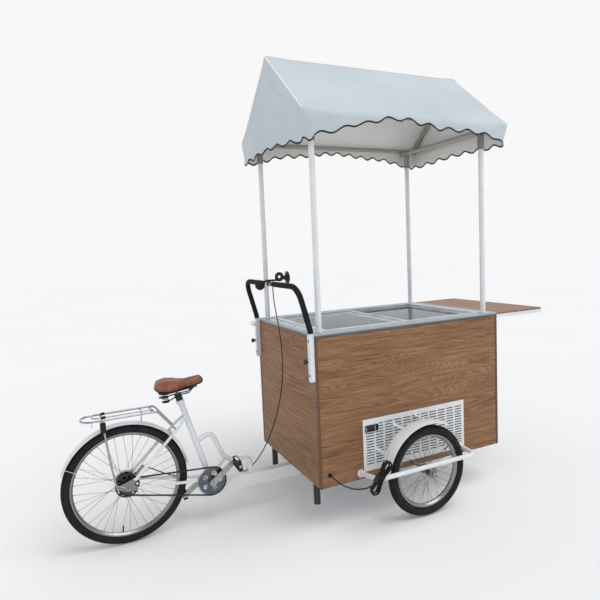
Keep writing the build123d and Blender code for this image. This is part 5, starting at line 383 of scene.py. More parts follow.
def piece(name, material, body):
    """The active object, finished: painted, at the origin with its place in its mesh, riding on its body."""
    made = bpy.context.object
    made.name = name
    settle()
    made.data.materials.clear()
    made.data.materials.append(material)
    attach(made, body)
    bpy.ops.object.select_all(action="DESELECT")
    return made


def soften(angle):
    """Smooth shading with sharp edges kept past the angle."""
    bpy.ops.object.shade_smooth_by_angle(angle=math.radians(angle))


def begin_edit(kind):
    """Edit mode on the active object, with nothing selected."""
    bpy.ops.object.mode_set(mode="EDIT")
    bpy.ops.mesh.select_mode(type=kind)
    bpy.ops.mesh.select_all(action="DESELECT")


def choose(parts, test):
    """Select the active mesh's vertices, edges or polygons that pass a test, and stay in edit mode."""
    bpy.ops.object.mode_set(mode="OBJECT")
    for part in getattr(bpy.context.object.data, parts):
        part.select = test(part)
    bpy.ops.object.mode_set(mode="EDIT")


def end_edit(doubles=0.0):
    """Merge doubles, turn the faces outwards and leave edit mode."""
    bpy.ops.mesh.select_all(action="SELECT")
    if doubles:
        bpy.ops.mesh.remove_doubles(threshold=doubles)
    bpy.ops.mesh.normals_make_consistent(inside=False)
    bpy.ops.object.mode_set(mode="OBJECT")


def apply_modifier(kind, **settings):
    """Add a modifier to the active object and apply it."""
    made = bpy.context.object.modifiers.new(kind.lower(), kind)
    for key, value in settings.items():
        setattr(made, key, value)
    bpy.ops.object.modifier_apply(modifier=made.name)


def facing(place, way, turn=0.0):
    """The matrix that stands a shape modelled along Z at a place, facing a direction, turned on its axis."""
    stood = Vector(way).to_track_quat("Z", "Y").to_matrix().to_4x4()
    return Matrix.Translation(place) @ stood @ Matrix.Rotation(turn, 4, "Z")


def stand(place, way):
    """Put the active object, modelled along Z at the origin, at a place and facing a direction."""
    bpy.context.object.matrix_world = facing(place, way)
    settle()


def turned(profile, sides):
    """A turned shape along Z: a disc extruded and scaled through (height, radius) pairs."""
    height, radius = profile[0]
    place = (0, 0, height)
    bpy.ops.mesh.primitive_circle_add(vertices=sides, radius=radius, fill_type="NGON", location=place)
    settle()
    bpy.ops.object.mode_set(mode="EDIT")
    bpy.ops.mesh.select_all(action="SELECT")
    for (low, inner), (high, outer) in zip(profile, profile[1:]):
        bpy.ops.mesh.extrude_region_move(TRANSFORM_OT_translate={"value": (0, 0, high - low)})
        bpy.ops.transform.resize(value=(outer / inner, outer / inner, 1), center_override=(0, 0, high))
    end_edit()


def fitting(name, profile, sides, place, way, angle, material, body):
    """A turned shape at a place and facing a direction, smooth up to an angle, as a finished piece."""
    turned(profile, sides)
    stand(place, way)
    soften(angle)
    return piece(name, material, body)


def copies(places):
    """Copies of the active object at each place, a matrix, joined into one mesh; the model itself goes."""
    model = bpy.context.object
    bpy.ops.object.select_all(action="DESELECT")
    for place in places:
        copy = bpy.data.objects.new(model.name, model.data.copy())
        bpy.context.scene.collection.objects.link(copy)
        copy.matrix_world = place
        copy.select_set(True)
        bpy.context.view_layer.objects.active = copy
    bpy.ops.object.join()
    bpy.data.objects.remove(model)
    settle()


def line(name, kind, points, radius, roundness=4):
    """A cord along points, smooth as NURBS or straight as POLY; radius 0 leaves the bare line."""
    curve = bpy.data.curves.new(name, "CURVE")
    curve.dimensions = "3D"
    curve.resolution_u = 8
    spline = curve.splines.new(kind)
    spline.points.add(len(points) - 1)
    for point, place in zip(spline.points, points):
        point.co = (*place, 1)
    spline.order_u = 3
    spline.use_endpoint_u = True
    curve.bevel_depth = radius
    curve.bevel_resolution = roundness
    curve.use_fill_caps = radius > 0
    made = bpy.data.objects.new(name, curve)
    bpy.context.scene.collection.objects.link(made)
    return made


def into_mesh(made):
    """Turn a cord's curve into a smooth mesh, the active object."""
    bpy.context.view_layer.objects.active = made
    made.select_set(True)
    bpy.ops.object.convert(target="MESH")
    bpy.ops.object.shade_smooth()
    return bpy.context.object


def tube_mesh(name, points, radius, sides=6):
    """A round tube along control points, as the active mesh."""
    return into_mesh(line(name, "NURBS", points, radius, sides // 2 - 1))


def ease(value, low, high):
    """Smooth step from 0 at low to 1 at high."""
    share = min(max((value - low) / (high - low), 0), 1)
    return share * share * (3 - 2 * share)


def between(table, share):
    """A row of numbers from a table of (share, numbers...), eased between its rows."""
    for first, second in zip(table, table[1:]):
        if share <= second[0]:
            weight = ease(share, first[0], second[0])
            return [a + weight * (b - a) for a, b in zip(first[1:], second[1:])]
    return list(table[-1][1:])


# Cords: the routes repeat the CAD's points
CORD_ROUTE = [
    (-0.150, -0.4523, 0.304), (-0.149, -0.478, 0.303), (-0.142, -0.504, 0.294), (-0.122, -0.528, 0.279),
    (-0.096, -0.550, 0.269), (-0.067, -0.572, 0.264), (-0.038, -0.596, 0.269), (-0.014, -0.618, 0.283),
]
CORD_RADIUS = 0.0035
HANK_MIDDLE = Vector((0.037, -0.6316, 0.335))
HANK_LEAN = math.radians(36.5)
HANK_ALONG = Vector((math.sin(HANK_LEAN), 0, math.cos(HANK_LEAN)))
HANK_ACROSS = Vector((math.cos(HANK_LEAN), 0, -math.sin(HANK_LEAN)))
HANK_OUT = Vector((0, -1, 0))
# the hank's turns: half length, and how far out each starts
HANK_TURNS = ((0.092, 0.0), (0.085, 0.009), (0.096, 0.018), (0.089, 0.027))
HANK_POINTS = 16
HANK_RISE = 0.009
HANK_WAIST = 0.006
HANK_LOBE = 0.047
# the lead's start in the hank and its end at the plug, in the hank's own directions
HANK_START = ((-0.042, -HANK_WAIST, 0), (-0.012, -HANK_WAIST, 0))
PLUG_OUT = 0.0338
HANK_END = ((-0.086, -0.020, PLUG_OUT), (-0.075, -0.034, PLUG_OUT), (-0.063, -0.0395, PLUG_OUT),
            (-0.051, -0.0395, PLUG_OUT), (-0.044, -0.0395, PLUG_OUT))
CABLE_ROUTE = [
    (-0.2875, -0.064, 1.3257), (-0.286, -0.064, 1.262), (-0.275, -0.063, 1.188), (-0.262, -0.061, 1.110),
    (-0.252, -0.060, 1.030), (-0.246, -0.058, 0.946), (-0.243, -0.054, 0.862), (-0.246, -0.047, 0.778),
    (-0.255, -0.037, 0.696), (-0.269, -0.026, 0.614), (-0.289, -0.014, 0.534), (-0.315, -0.003, 0.456),
    (-0.347, 0.008, 0.382), (-0.386, 0.019, 0.314), (-0.434, 0.028, 0.258), (-0.494, 0.033, 0.224),
    (-0.561, 0.034, 0.210), (-0.632, 0.036, 0.211), (-0.700, 0.043, 0.226), (-0.768, 0.054, 0.247),
    (-0.838, 0.061, 0.264), (-0.910, 0.066, 0.288), (-0.976, 0.066, 0.322), (-1.024, 0.057, 0.360),
    (-1.0653, 0.0507, 0.3797),
]
CABLE_RADIUS = 0.003
CABLE_JOIN_HEIGHT = 0.9
# two points on the cable for each stretch, above and below the join
UPPER_BEND = ((-0.286, -0.064, 1.30), (-0.245, -0.056, 0.95))
LOWER_BEND = ((-0.245, -0.054, 0.86), (-0.494, 0.033, 0.224))
BARE_WIRE_LENGTH = 0.017
BARE_WIRE_RADIUS = 0.0008
WIRE_NUT_PROFILE = ((-0.0050, 0.0036), (-0.0045, 0.0042), (0.0045, 0.0042), (0.0050, 0.0036))
FERRULE_PROFILE = ((-0.0120, 0.0032), (-0.0115, 0.0040), (0.0, 0.0040), (0.0012, 0.0034))


def hank_place(along, across, out):
    """A point of the hank in its own directions."""
    return HANK_MIDDLE + HANK_ALONG * along + HANK_ACROSS * across + HANK_OUT * out


def make_power_cord():
    """The mains lead: out of the gland, a sagging run, four uneven turns tied at the guard, and its plug."""
    points = [Vector(place) for place in CORD_ROUTE]
    points += [hank_place(*place) for place in HANK_START]
    last = len(HANK_TURNS) - 1
    for turn, (reach, start) in enumerate(HANK_TURNS):
        for step in range(HANK_POINTS * 3 // 4 + 1 if turn == last else HANK_POINTS):
            angle = 2 * math.pi * step / HANK_POINTS
            across = -math.cos(angle) * (HANK_WAIST + HANK_LOBE * math.sin(angle) ** 2)
            points.append(hank_place(reach * math.sin(angle), across, start + HANK_RISE * step / HANK_POINTS))
    points += [hank_place(*place) for place in HANK_END]
    cord = line("mains_lead", "NURBS", points, CORD_RADIUS)
    cord.data.materials.append(RUBBER)
    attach(cord, "cart")
    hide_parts("power_cord", "cord_hank")


def line_length(points):
    """Length of a chain of points."""
    return sum((b - a).length for a, b in zip(points, points[1:]))


def make_cable_half(name, points, first, second, start, end):
    """One stretch of the brake cable, as a tube."""
    made = into_mesh(line(name, "POLY", points, CABLE_RADIUS, 3))
    made.data.materials.append(RUBBER)
    bpy.ops.object.select_all(action="DESELECT")
    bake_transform(made)
    return made


def make_brake_wire(start, end):
    """The bare wire that pulls the brake arm, its anchor nut, and the ferrule where it leaves the cable."""
    tube_mesh("bare_wire", [start.lerp(end, share) for share in (-0.1, 0.2, 0.7, 1.0)], BARE_WIRE_RADIUS)
    piece("brake_bare_wire", STEEL, "brake_arm")
    fitting("brake_wire_anchor", WIRE_NUT_PROFILE, 6, end, (0, 1, 0), 30, STEEL, "brake_arm")
    fitting("brake_cable_ferrule", FERRULE_PROFILE, 16, start, end - start, 40, STEEL, "rear_frame")


def make_brake_cable():
    """The cable in two stretches that meet behind the counter."""
    route = line("cable_route", "NURBS", CABLE_ROUTE, 0.0)
    path = bpy.data.meshes.new_from_object(route)
    points = [vertex.co.copy() for vertex in path.vertices]
    bpy.data.objects.remove(route)
    bpy.data.meshes.remove(path)
    join = min(range(len(points)), key=lambda index: abs(points[index].z - CABLE_JOIN_HEIGHT))
    stop = next(index for index in range(len(points)) if line_length(points[index:]) < BARE_WIRE_LENGTH)
    upper = make_cable_half("brake_cable_upper", points[:join + 1], "handlebar", "cart", *UPPER_BEND)
    make_cable_half("brake_cable_lower", points[join:stop], "cart", "rear_frame", *LOWER_BEND)
    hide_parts("brake_cable")
    make_brake_wire(points[stop - 1], points[-1])


make_brake_cable()
make_power_cord()

# Canopy: one sheet over ridge, rafters and eaves, with a scalloped skirt bound in black.
# The sheet's grid: columns along an eave and a gable, rows down the slope and the skirt
CLOTH_LONG = 168
CLOTH_GABLE = 104
CLOTH_AROUND = 2 * (CLOTH_LONG + CLOTH_GABLE)
CLOTH_SLOPE = 32
CLOTH_SKIRT = 14
CLOTH_ROWS = CLOTH_SLOPE + CLOTH_SKIRT
CLOTH_THICK = 0.0012
CLOTH_SAG = 0.014
CANOPY_HALF_L = (CANOPY_HIGH[0] - CANOPY_LOW[0]) / 2
CANOPY_HALF_W = (CANOPY_HIGH[1] - CANOPY_LOW[1]) / 2
CANOPY_MID_X = (CANOPY_HIGH[0] + CANOPY_LOW[0]) / 2
RIDGE_Z = CANOPY_HIGH[2]
ROOF_H = 0.404
EAVE_Z = RIDGE_Z - ROOF_H
SLOPE_ANGLE = math.atan2(ROOF_H, CANOPY_HALF_W)
SLOPE_L = math.hypot(ROOF_H, CANOPY_HALF_W)
# the bend from slope to skirt: its radius, its angle, how far from the eave's line it starts
EAVE_BEND = 0.080
EAVE_TURN = math.pi / 2 - SLOPE_ANGLE
EAVE_TANGENT = EAVE_BEND * math.tan(EAVE_TURN / 2)
EAVE_BULGE = 0.0065
SKIRT_DEEP = 0.150
# the skirt's drop along each side, as (share along the side, drop): near, front, far and rear
SKIRT_EDGES = (
    ((0.0, 0.150), (0.13, 0.106), (0.25, 0.064), (0.38, 0.026), (0.46, 0.024), (0.54, 0.042), (0.63, 0.062),
     (0.80, 0.064), (0.92, 0.086), (1.0, 0.125)),
    ((0.0, 0.125), (0.5, 0.112), (1.0, 0.130)),
    ((0.0, 0.130), (0.25, 0.072), (0.5, 0.044), (0.75, 0.074), (1.0, 0.138)),
    ((0.0, 0.138), (0.5, 0.124), (1.0, 0.150)),
)
SCALLOPS = (10, 7, 14, 6)
SCALLOP_H = 0.0105
TAPE_H = 0.0095
TAPE_THICK = 0.0036
WELT_RADIUS = 0.0032
RIDGE_END_RISE = 0.005
# the slope's rows crowd towards the eave by this power
ROW_CROWDING = 1.35
# lengths over which the eave's bulge and the corners' pull fade out
BULGE_REACH = 0.06
CORNER_REACH = 0.22
# waves in the skirt: how far out at its full depth, and how many to a side
SKIRT_WAVE = 0.005
SKIRT_WAVES = 7
# wrinkles on the slopes as (height, spots to the metre), and their height on the skirt
WRINKLES = ((0.0040, 5.0), (0.0014, 19.0))
SKIRT_WRINKLE = 0.004
# webbing wound round each post's top: the posts' places, and the winding's radius, depth and middle height
POST_PLACES = ((-0.156, -0.376), (-0.156, 0.376), (1.024, -0.376), (1.024, 0.376))
TIE_RADIUS = 0.0176
TIE_DEPTH = 0.092
TIE_HEIGHT = 2.161
# the corners' rounding at the roof
CORNER_LEAST = 0.004
# the skirt's corners, near rear, near front, far front, far rear: how round, how far drawn in to the post
CORNER_ROUND = (0.075, 0.030, 0.040, 0.018)
CORNER_DRAW = (0.034, 0.010, 0.014, 0.004)
# folds in the cloth: side, where each starts and ends as shares along and down, half width, height
FOLDS = (
    (0, (0.40, 0.16), (0.82, 0.64), 0.040, 0.0075), (0, (0.29, 0.40), (0.62, 0.84), 0.036, 0.0050),
    (0, (0.66, 0.12), (0.95, 0.52), 0.045, 0.0065), (0, (0.06, 0.50), (0.30, 0.90), 0.042, 0.0065),
    (0, (0.72, 0.66), (0.97, 0.90), 0.040, 0.0050), (0, (0.14, 0.22), (0.34, 0.46), 0.030, 0.0040),
    (1, (0.50, 0.28), (0.22, 0.88), 0.050, 0.0050), (1, (0.54, 0.36), (0.82, 0.92), 0.044, 0.0055),
    (2, (0.12, 0.20), (0.46, 0.74), 0.045, 0.0070), (2, (0.50, 0.30), (0.84, 0.86), 0.040, 0.0055),
    (2, (0.70, 0.14), (0.94, 0.56), 0.036, 0.0050), (3, (0.48, 0.22), (0.24, 0.86), 0.048, 0.0050),
    (3, (0.55, 0.30), (0.83, 0.93), 0.055, 0.0065), (3, (0.70, 0.66), (0.96, 0.80), 0.036, 0.0045),
)


def cloth_column(column):
    """Side of the canopy and share along it for a column of the sheet; columns crowd towards the corners."""
    counts = (CLOTH_LONG, CLOTH_GABLE, CLOTH_LONG, CLOTH_GABLE)
    side = 0
    while column > counts[side]:
        column -= counts[side]
        side += 1
    share = column / counts[side]
    return side, share - 0.35 * math.sin(2 * math.pi * share) / (2 * math.pi)


def skirt_at(side, share, row):
    """How far below the eave a row hangs: scalloped at the edge, with the tape's height as last step."""
    step = row - CLOTH_SLOPE
    if step <= 0:
        return 0.0
    drop = between(SKIRT_EDGES[side], share)[0] + SCALLOP_H * math.sin(2 * math.pi * SCALLOPS[side] * share)
    return drop if step == CLOTH_SKIRT else (drop - TAPE_H) * step / (CLOTH_SKIRT - 1)


def eave_bend(travel):
    """How far out from the eave's line, and how high, the cloth is on its way round from slope to skirt."""
    angle = SLOPE_ANGLE + (travel + EAVE_TANGENT) / (2 * EAVE_TANGENT) * EAVE_TURN
    out = EAVE_BEND * (math.sin(angle) - math.sin(SLOPE_ANGLE)) - EAVE_TANGENT * math.cos(SLOPE_ANGLE)
    rise = EAVE_BEND * (math.cos(angle) - math.cos(SLOPE_ANGLE)) + EAVE_TANGENT * math.sin(SLOPE_ANGLE)
    return out, EAVE_Z + rise


def cloth_push(side, share, corner, spare, fall, skirt):
    """How far the cloth stands out: bulged at the eave, drawn in at the posts, waved along the skirt."""
    near_eave = skirt + 0.5 * (1 - fall)
    push = EAVE_BULGE * math.exp(-(near_eave / BULGE_REACH) ** 2)
    drawn = math.exp(-(spare / CORNER_REACH) ** 2) * ease(skirt, 0.0, 1.2 * SKIRT_DEEP)
    push -= CORNER_DRAW[corner] * drawn
    return push + SKIRT_WAVE * skirt / SKIRT_DEEP * math.sin(2 * math.pi * SKIRT_WAVES * share + side)


def fold_height(side, share, fall):
    """Height of the listed folds at a point of the sheet."""
    size = Vector((2 * (CANOPY_HALF_W if side % 2 else CANOPY_HALF_L), SLOPE_L))
    height = 0.0
    here = Vector((share, fall)) * size
    for where, start, end, width, rise in FOLDS:
        if where != side:
            continue
        first = Vector(start) * size
        run = Vector(end) * size - first
        travel = (here - first).dot(run) / run.length_squared
        if 0 < travel < 1:
            aside = (here - first - run * travel).length
            height += rise * math.exp(-(aside / width) ** 2) * math.sin(math.pi * travel)
    return height


def cloth_lift(side, share, fall, skirt, half, spare):
    """Height of sag, folds and wrinkles on a slope, held at its edges, or of the skirt's wrinkles."""
    if skirt:
        spot = Vector((share * half * 18, skirt * 12, side))
        return SKIRT_WRINKLE * ease(skirt, 0, 0.06) * noise.noise(spot)
    spot = Vector((share * half * 2, fall * SLOPE_L, 3.0 * side))
    lift = sum(height * noise.noise(spot * scale) for height, scale in WRINKLES)
    lift -= CLOTH_SAG * math.sin(math.pi * fall) * math.sin(math.pi * share)
    lift += fold_height(side, share, fall)
    return lift * ease(fall, 0.0, 0.14) * ease(spare, 0.0, 0.10) * ease(1 - fall, 0.0, 0.12)


def cloth_place(column, row):
    """Where the sheet's grid point lies on the canopy."""
    side, share = cloth_column(column % CLOTH_AROUND)
    gable = side % 2 == 1
    fall = 1 - (1 - min(row / CLOTH_SLOPE, 1)) ** ROW_CROWDING
    skirt = skirt_at(side, share, row)
    half_w = CANOPY_HALF_W * fall
    half, out = (half_w, CANOPY_HALF_L) if gable else (CANOPY_HALF_L, half_w)
    along = (2 * share - 1) * half
    end = math.copysign(1, along)
    spare = half - abs(along)
    corner = (side + (1 if share > 0.5 else 0)) % 4
    radius = min(CORNER_LEAST + CORNER_ROUND[corner] * ease(skirt, 0.0, 0.10), 0.9 * half_w)
    turn = 0.0
    if spare < radius:
        turn = (1 - spare / radius) * math.pi / 4
        along = end * (half - radius + radius * math.sin(turn))
        out += radius * (math.cos(turn) - 1)
    height = EAVE_Z + ROOF_H * (1 - fall) - skirt
    travel = skirt - SLOPE_L * (1 - fall)
    if not gable and abs(travel) < EAVE_TANGENT:
        weight = ease(spare, 0.02, 0.14)
        bent_out, bent_z = eave_bend(travel)
        out += weight * (CANOPY_HALF_W + bent_out - half_w)
        height += weight * (bent_z - height)
    push = cloth_push(side, share, corner, spare, fall, skirt)
    along += push * end * math.sin(turn)
    out += push * math.cos(turn)
    lift = cloth_lift(side, share, fall, skirt, half, spare)
    if gable or skirt:
        out += lift
    else:
        out += lift * math.sin(SLOPE_ANGLE)
        height += lift * math.cos(SLOPE_ANGLE)
    if row == 0:
        from_end = 0.0 if gable else min(share, 1 - share) * 2 * CANOPY_HALF_L
        height += RIDGE_END_RISE * math.exp(-(from_end / 0.10) ** 2)
    x, y = ((along, -out), (out, along), (-along, out), (-out, -along))[side]
    return Vector((CANOPY_MID_X + x, y, height))


def sheet_grid(columns, first, last):
    """The sheet's rows from first to last as the active mesh, closed round the canopy."""
    rows = last - first
    bpy.ops.mesh.primitive_grid_add(x_subdivisions=columns, y_subdivisions=rows, size=1)
    for vertex in bpy.context.object.data.vertices:
        column = round((vertex.co.x + 0.5) * columns)
        row = first + round((0.5 - vertex.co.y) * rows)
        vertex.co = cloth_place(column, row)
    bpy.ops.object.mode_set(mode="EDIT")
    end_edit(0.00002)
    bpy.ops.object.shade_smooth()


def make_canopy():
    """The cloth roof with its inner side in a paler beige that is painted light through the cloth, black edge
    tape, welts on the rafters, and ties on the posts.
    """
    sheet_grid(CLOTH_AROUND, 0, CLOTH_ROWS)
    cloth = bpy.context.object
    cloth.data.materials.append(CLOTH)
    # the second slot goes on the inner faces and rims: the cloth's painted through-light colour
    cloth.data.materials.append(CLOTH_INNER_THROUGH_LIGHT)
    apply_modifier("SOLIDIFY", thickness=CLOTH_THICK, offset=-1, material_offset=1, material_offset_rim=1)
    cloth.name = "canopy_sheet"
    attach(cloth, "cart")
    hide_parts("canopy")
    bpy.ops.object.select_all(action="DESELECT")
    sheet_grid(CLOTH_AROUND, CLOTH_ROWS - 1, CLOTH_ROWS)
    apply_modifier("SOLIDIFY", thickness=TAPE_THICK, offset=-0.35)
    trims = [piece("canopy_edge_tape", BINDING, "cart")]
    for number, column in enumerate((0, CLOTH_LONG, CLOTH_LONG + CLOTH_GABLE, 2 * CLOTH_LONG + CLOTH_GABLE)):
        rows = range(0, CLOTH_SLOPE + 1, 2)
        tube_mesh("welt", [cloth_place(column, row) for row in rows], WELT_RADIUS)
        trims.append(piece(f"canopy_rafter_welt_{number + 1}", WELT_HIGHLIGHT, "cart"))
    for number, (x, y) in enumerate(POST_PLACES):
        trims.append(make_post_tie(number, x, y))


def make_post_tie(number, x, y):
    """Webbing wound round a post under the roof: an open sleeve with uneven turns."""
    bpy.ops.mesh.primitive_cylinder_add(vertices=28, radius=TIE_RADIUS, depth=TIE_DEPTH,
                                        end_fill_type="NOTHING", location=(x, y, TIE_HEIGHT))
    settle()
    begin_edit("EDGE")
    points = bpy.context.object.data.vertices

    def upright(edge):
        first, second = edge.vertices
        return abs(points[first].co.z - points[second].co.z) > 0.05

    choose("edges", upright)
    bpy.ops.mesh.subdivide(number_cuts=9)
    bpy.ops.object.mode_set(mode="OBJECT")
    for vertex in bpy.context.object.data.vertices:
        away = Vector((vertex.co.x - x, vertex.co.y - y, 0)).normalized()
        waves = noise.noise(Vector((vertex.co.x * 40, vertex.co.y * 40, vertex.co.z * 70 + number)))
        vertex.co += away * (0.0012 + 0.0016 * waves)
    apply_modifier("SOLIDIFY", thickness=0.001, offset=1)
    bpy.ops.object.shade_smooth()
    return piece(f"canopy_post_tie_{number + 1}", TIE_WEB, "cart")


make_canopy()

# Saddle, from the rear to the nose: share of its length; half width, top, widest height and bottom in metres
SADDLE_ROWS = (
    (0.00, 0.042, 0.042, 0.019, 0.002), (0.10, 0.081, 0.057, 0.021, 0.000),
    (0.24, 0.102, 0.062, 0.022, 0.000), (0.38, 0.091, 0.059, 0.023, 0.000),
    (0.50, 0.064, 0.052, 0.024, 0.000), (0.62, 0.042, 0.050, 0.025, 0.001),
    (0.78, 0.031, 0.055, 0.030, 0.003), (0.91, 0.026, 0.059, 0.034, 0.008),
    (1.00, 0.018, 0.050, 0.036, 0.015),
)
SADDLE_END = 0.016
SADDLE_LENGTH = SADDLE_HIGH[0] - SADDLE_LOW[0]
GROOVE_DEPTH = 0.0045
GROOVE_WIDTH = 0.016
# its trims: height as a share from the bottom to the widest row, share of the half width, radius, finish
SADDLE_TRIMS = (("saddle_lower_edge", 0.27, 0.965, 0.0034, BLACK_PLASTIC, "black_plastic"),
                ("saddle_seam", 1.0, 1.002, 0.0011, LEATHER_SEAM, "leather"))


def saddle_row(share):
    """Half width, top, widest height and bottom of the saddle, drawn in at its two ends."""
    half, top, side, bottom = between(SADDLE_ROWS, share)
    left = min(share, 1 - share) * SADDLE_LENGTH / SADDLE_END
    cap = math.sqrt(max(1 - (1 - min(left, 1)) ** 2, 0))
    return half * cap, side + (top - side) * cap, side, side + (bottom - side) * cap


def make_saddle():
    """The sprung saddle's padded leather top: a ball drawn out into wide rear lobes and a narrow nose."""
    bpy.ops.mesh.primitive_uv_sphere_add(segments=56, ring_count=60, radius=1, rotation=(0, math.pi / 2, 0))
    settle()
    for vertex in bpy.context.object.data.vertices:
        share = (vertex.co.x + 1) / 2
        half, top, side, bottom = saddle_row(share)
        around = math.atan2(vertex.co.z, vertex.co.y)
        up = math.sin(around)
        across = math.cos(around)
        y = half * math.copysign(abs(across) ** 0.86, across)
        if up > 0:
            z = side + (top - side) * up ** 0.92
            groove = GROOVE_DEPTH * math.exp(-(y / GROOVE_WIDTH) ** 2)
            z -= groove * ease(up, 0.6, 1) * (1 - ease(share, 0.35, 0.6))
        else:
            z = side + (side - bottom) * math.copysign(abs(up) ** 0.6, up)
            y *= 1 - 0.10 * abs(up)
        spot = Vector((share * 9, y * 30, z * 30))
        z += 0.0007 * noise.noise(spot) * max(up, 0)
        vertex.co = (SADDLE_LOW[0] + share * SADDLE_LENGTH, y, SADDLE_LOW[2] + z)
    bpy.ops.object.mode_set(mode="EDIT")
    end_edit(0.00002)
    apply_modifier("SUBSURF", levels=1, render_levels=1)
    bpy.ops.object.shade_smooth()
    saddle = piece("saddle_pad", LEATHER, "saddle")
    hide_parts("saddle")
    shares = [0.003, 0.02] + [0.05 + 0.9 * step / 17 for step in range(18)] + [0.98, 0.997]
    for name, rise, reach, radius, material, slot in SADDLE_TRIMS:
        points = []
        for side in (-1, 1):
            for share in shares if side < 0 else reversed(shares):
                half, top, edge, bottom = saddle_row(share)
                height = SADDLE_LOW[2] + max(bottom + (edge - bottom) * rise, radius)
                points.append((SADDLE_LOW[0] + share * SADDLE_LENGTH, side * reach * half, height))
        points += points[:2]
        tube_mesh(name, points, radius)
        piece(name, material, "saddle")


make_saddle()

# Foam grips: from the socket up and over to the bar's middle
GRIP_POINTS = (
    (-0.2235, 0.408, 1.098), (-0.2235, 0.408, 1.110), (-0.2300, 0.408, 1.1355), (-0.2420, 0.408, 1.181),
    (-0.2875, 0.408, 1.351), (-0.2875, 0.232, 1.351), (-0.2875, 0.078, 1.351),
)
GRIP_RADIUS = 0.0158
# dents in the foam as (height, spots to the metre)
FOAM_DENTS = ((0.0006, 55.0), (0.0004, 170.5))


def make_grips():
    """The two foam sleeves on the handlebar, with soft rounded ends."""
    for side, name in ((-1, "right"), (1, "left")):
        points = [(x, side * y, z) for x, y, z in GRIP_POINTS]
        grip = tube_mesh(f"{name}_grip", points, GRIP_RADIUS, sides=16)
        begin_edit("FACE")
        choose("polygons", lambda face: len(face.vertices) > 4)
        bpy.ops.mesh.inset(thickness=0.0022, depth=0.0)
        bpy.ops.mesh.inset(thickness=0.0012, depth=0.0018)
        end_edit(0.00002)
        normals = [vertex.normal.copy() for vertex in grip.data.vertices]
        for vertex, away in zip(grip.data.vertices, normals):
            vertex.co += away * sum(height * noise.noise(vertex.co * scale) for height, scale in FOAM_DENTS)
        soften(50)
        grip = piece(f"{name}_foam_grip", FOAM, "handlebar")
        if side < 0:
            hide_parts("handlebar_foam")


make_grips()

# Horn bulb behind the bar: turned along its own leaning axis
BULB_MIDDLE = Vector((-0.3455, -0.010, 1.347))
BULB_WAY = Vector((0.040, 0, 0.023)).normalized()
BULB_PROFILE = (
    (-0.0298, 0.004), (-0.0292, 0.0075), (-0.027, 0.0135), (-0.0225, 0.0198), (-0.015, 0.0260),
    (-0.006, 0.0293), (0.003, 0.0298), (0.011, 0.0278), (0.018, 0.0235), (0.0235, 0.0178),
    (0.0265, 0.0125), (0.028, 0.0096), (0.0288, 0.0092), (0.0294, 0.0100), (0.0318, 0.0100),
    (0.0324, 0.0088), (0.0338, 0.0084),
)
# the horn's rubber squeeze bulb with its neck ring
bulb = fitting("horn_squeeze_bulb", BULB_PROFILE, 36, BULB_MIDDLE, BULB_WAY, 50, RUBBER, "handlebar")
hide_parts("horn_bulb")

# Wheels: name, body, axle, rolling radius, tyre's half width, tread blocks round it
WHEELS = (
    ("right_front", "right_wheel", Vector((0.406, -0.560, 0.260)), 0.260, 0.027, 108),
    ("left_front", "left_wheel", Vector((0.406, 0.560, 0.260)), 0.260, 0.027, 108),
    ("rear", "rear_wheel", Vector((-1.167, 0.0, 0.327)), 0.327, 0.025, 132),
)
# each wheel's rim bed radius, spokes and the valve's angle
RIMS = ((0.205, 32, 35.0), (0.205, 32, 35.0), (0.281, 36, -98.0))
# tread: its height, the gap between blocks, how far down the wall it goes, how far the chevrons lean back
TREAD_H = 0.0016
TREAD_GAP = 0.0009
TREAD_REACH = math.radians(58)
CHEVRON = 1.6 * math.pi
CHEVRON_REACH = 1.2
# the rib on the wall: between these angles from the crown, swollen by this share
RIB_ANGLES = (1.45, 1.75)
RIB_SWELL = 1.018
TYRE_SIDES = 30
NIPPLE_ASIDE = 0.0025
NIPPLE_IN = 0.014
VALVE_IN = 0.012
NIPPLE_PROFILE = ((-0.011, 0.0015), (-0.0105, 0.0019), (0.0, 0.0019), (0.001, 0.0026), (0.003, 0.0026))
VALVE_PROFILE = ((-0.036, 0.0022), (-0.0355, 0.0034), (-0.026, 0.0036), (-0.025, 0.0030), (-0.004, 0.0034),
                 (-0.002, 0.0050), (0.000, 0.0052))


def make_tyre(name, body, axle, radius, half, segments, bed):
    """A tyre drawn from a ring: chevron tread blocks on the crown, a rib on each wall, beads in the rim."""
    section = half - TREAD_H
    bpy.ops.mesh.primitive_torus_add(major_radius=radius - half, minor_radius=section,
                                     major_segments=segments, minor_segments=TYRE_SIDES)
    made = bpy.context.object
    for vertex in made.data.vertices:
        angle = math.atan2(vertex.co.y, vertex.co.x)
        out = math.hypot(vertex.co.x, vertex.co.y)
        lean = math.atan2(vertex.co.z, out - radius + half)
        if abs(lean) < CHEVRON_REACH:
            angle += CHEVRON / segments * abs(math.sin(lean))
        out = max(out, bed + 0.0006)
        if RIB_ANGLES[0] < abs(lean) < RIB_ANGLES[1]:
            vertex.co.z *= RIB_SWELL
        vertex.co = (out * math.cos(angle), out * math.sin(angle), vertex.co.z)
    begin_edit("FACE")
    crown = radius - half + section * math.cos(TREAD_REACH)
    choose("polygons", lambda face: math.hypot(face.center.x, face.center.y) > crown)
    bpy.ops.mesh.inset(thickness=TREAD_GAP, depth=TREAD_H, use_individual=True)
    end_edit()
    made.rotation_euler = (math.pi / 2, 0, 0)
    made.location = axle
    settle()
    soften(32)
    tyre = piece(f"{name}_road_tyre", TYRE, body)
    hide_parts(f"{name}_tyre")


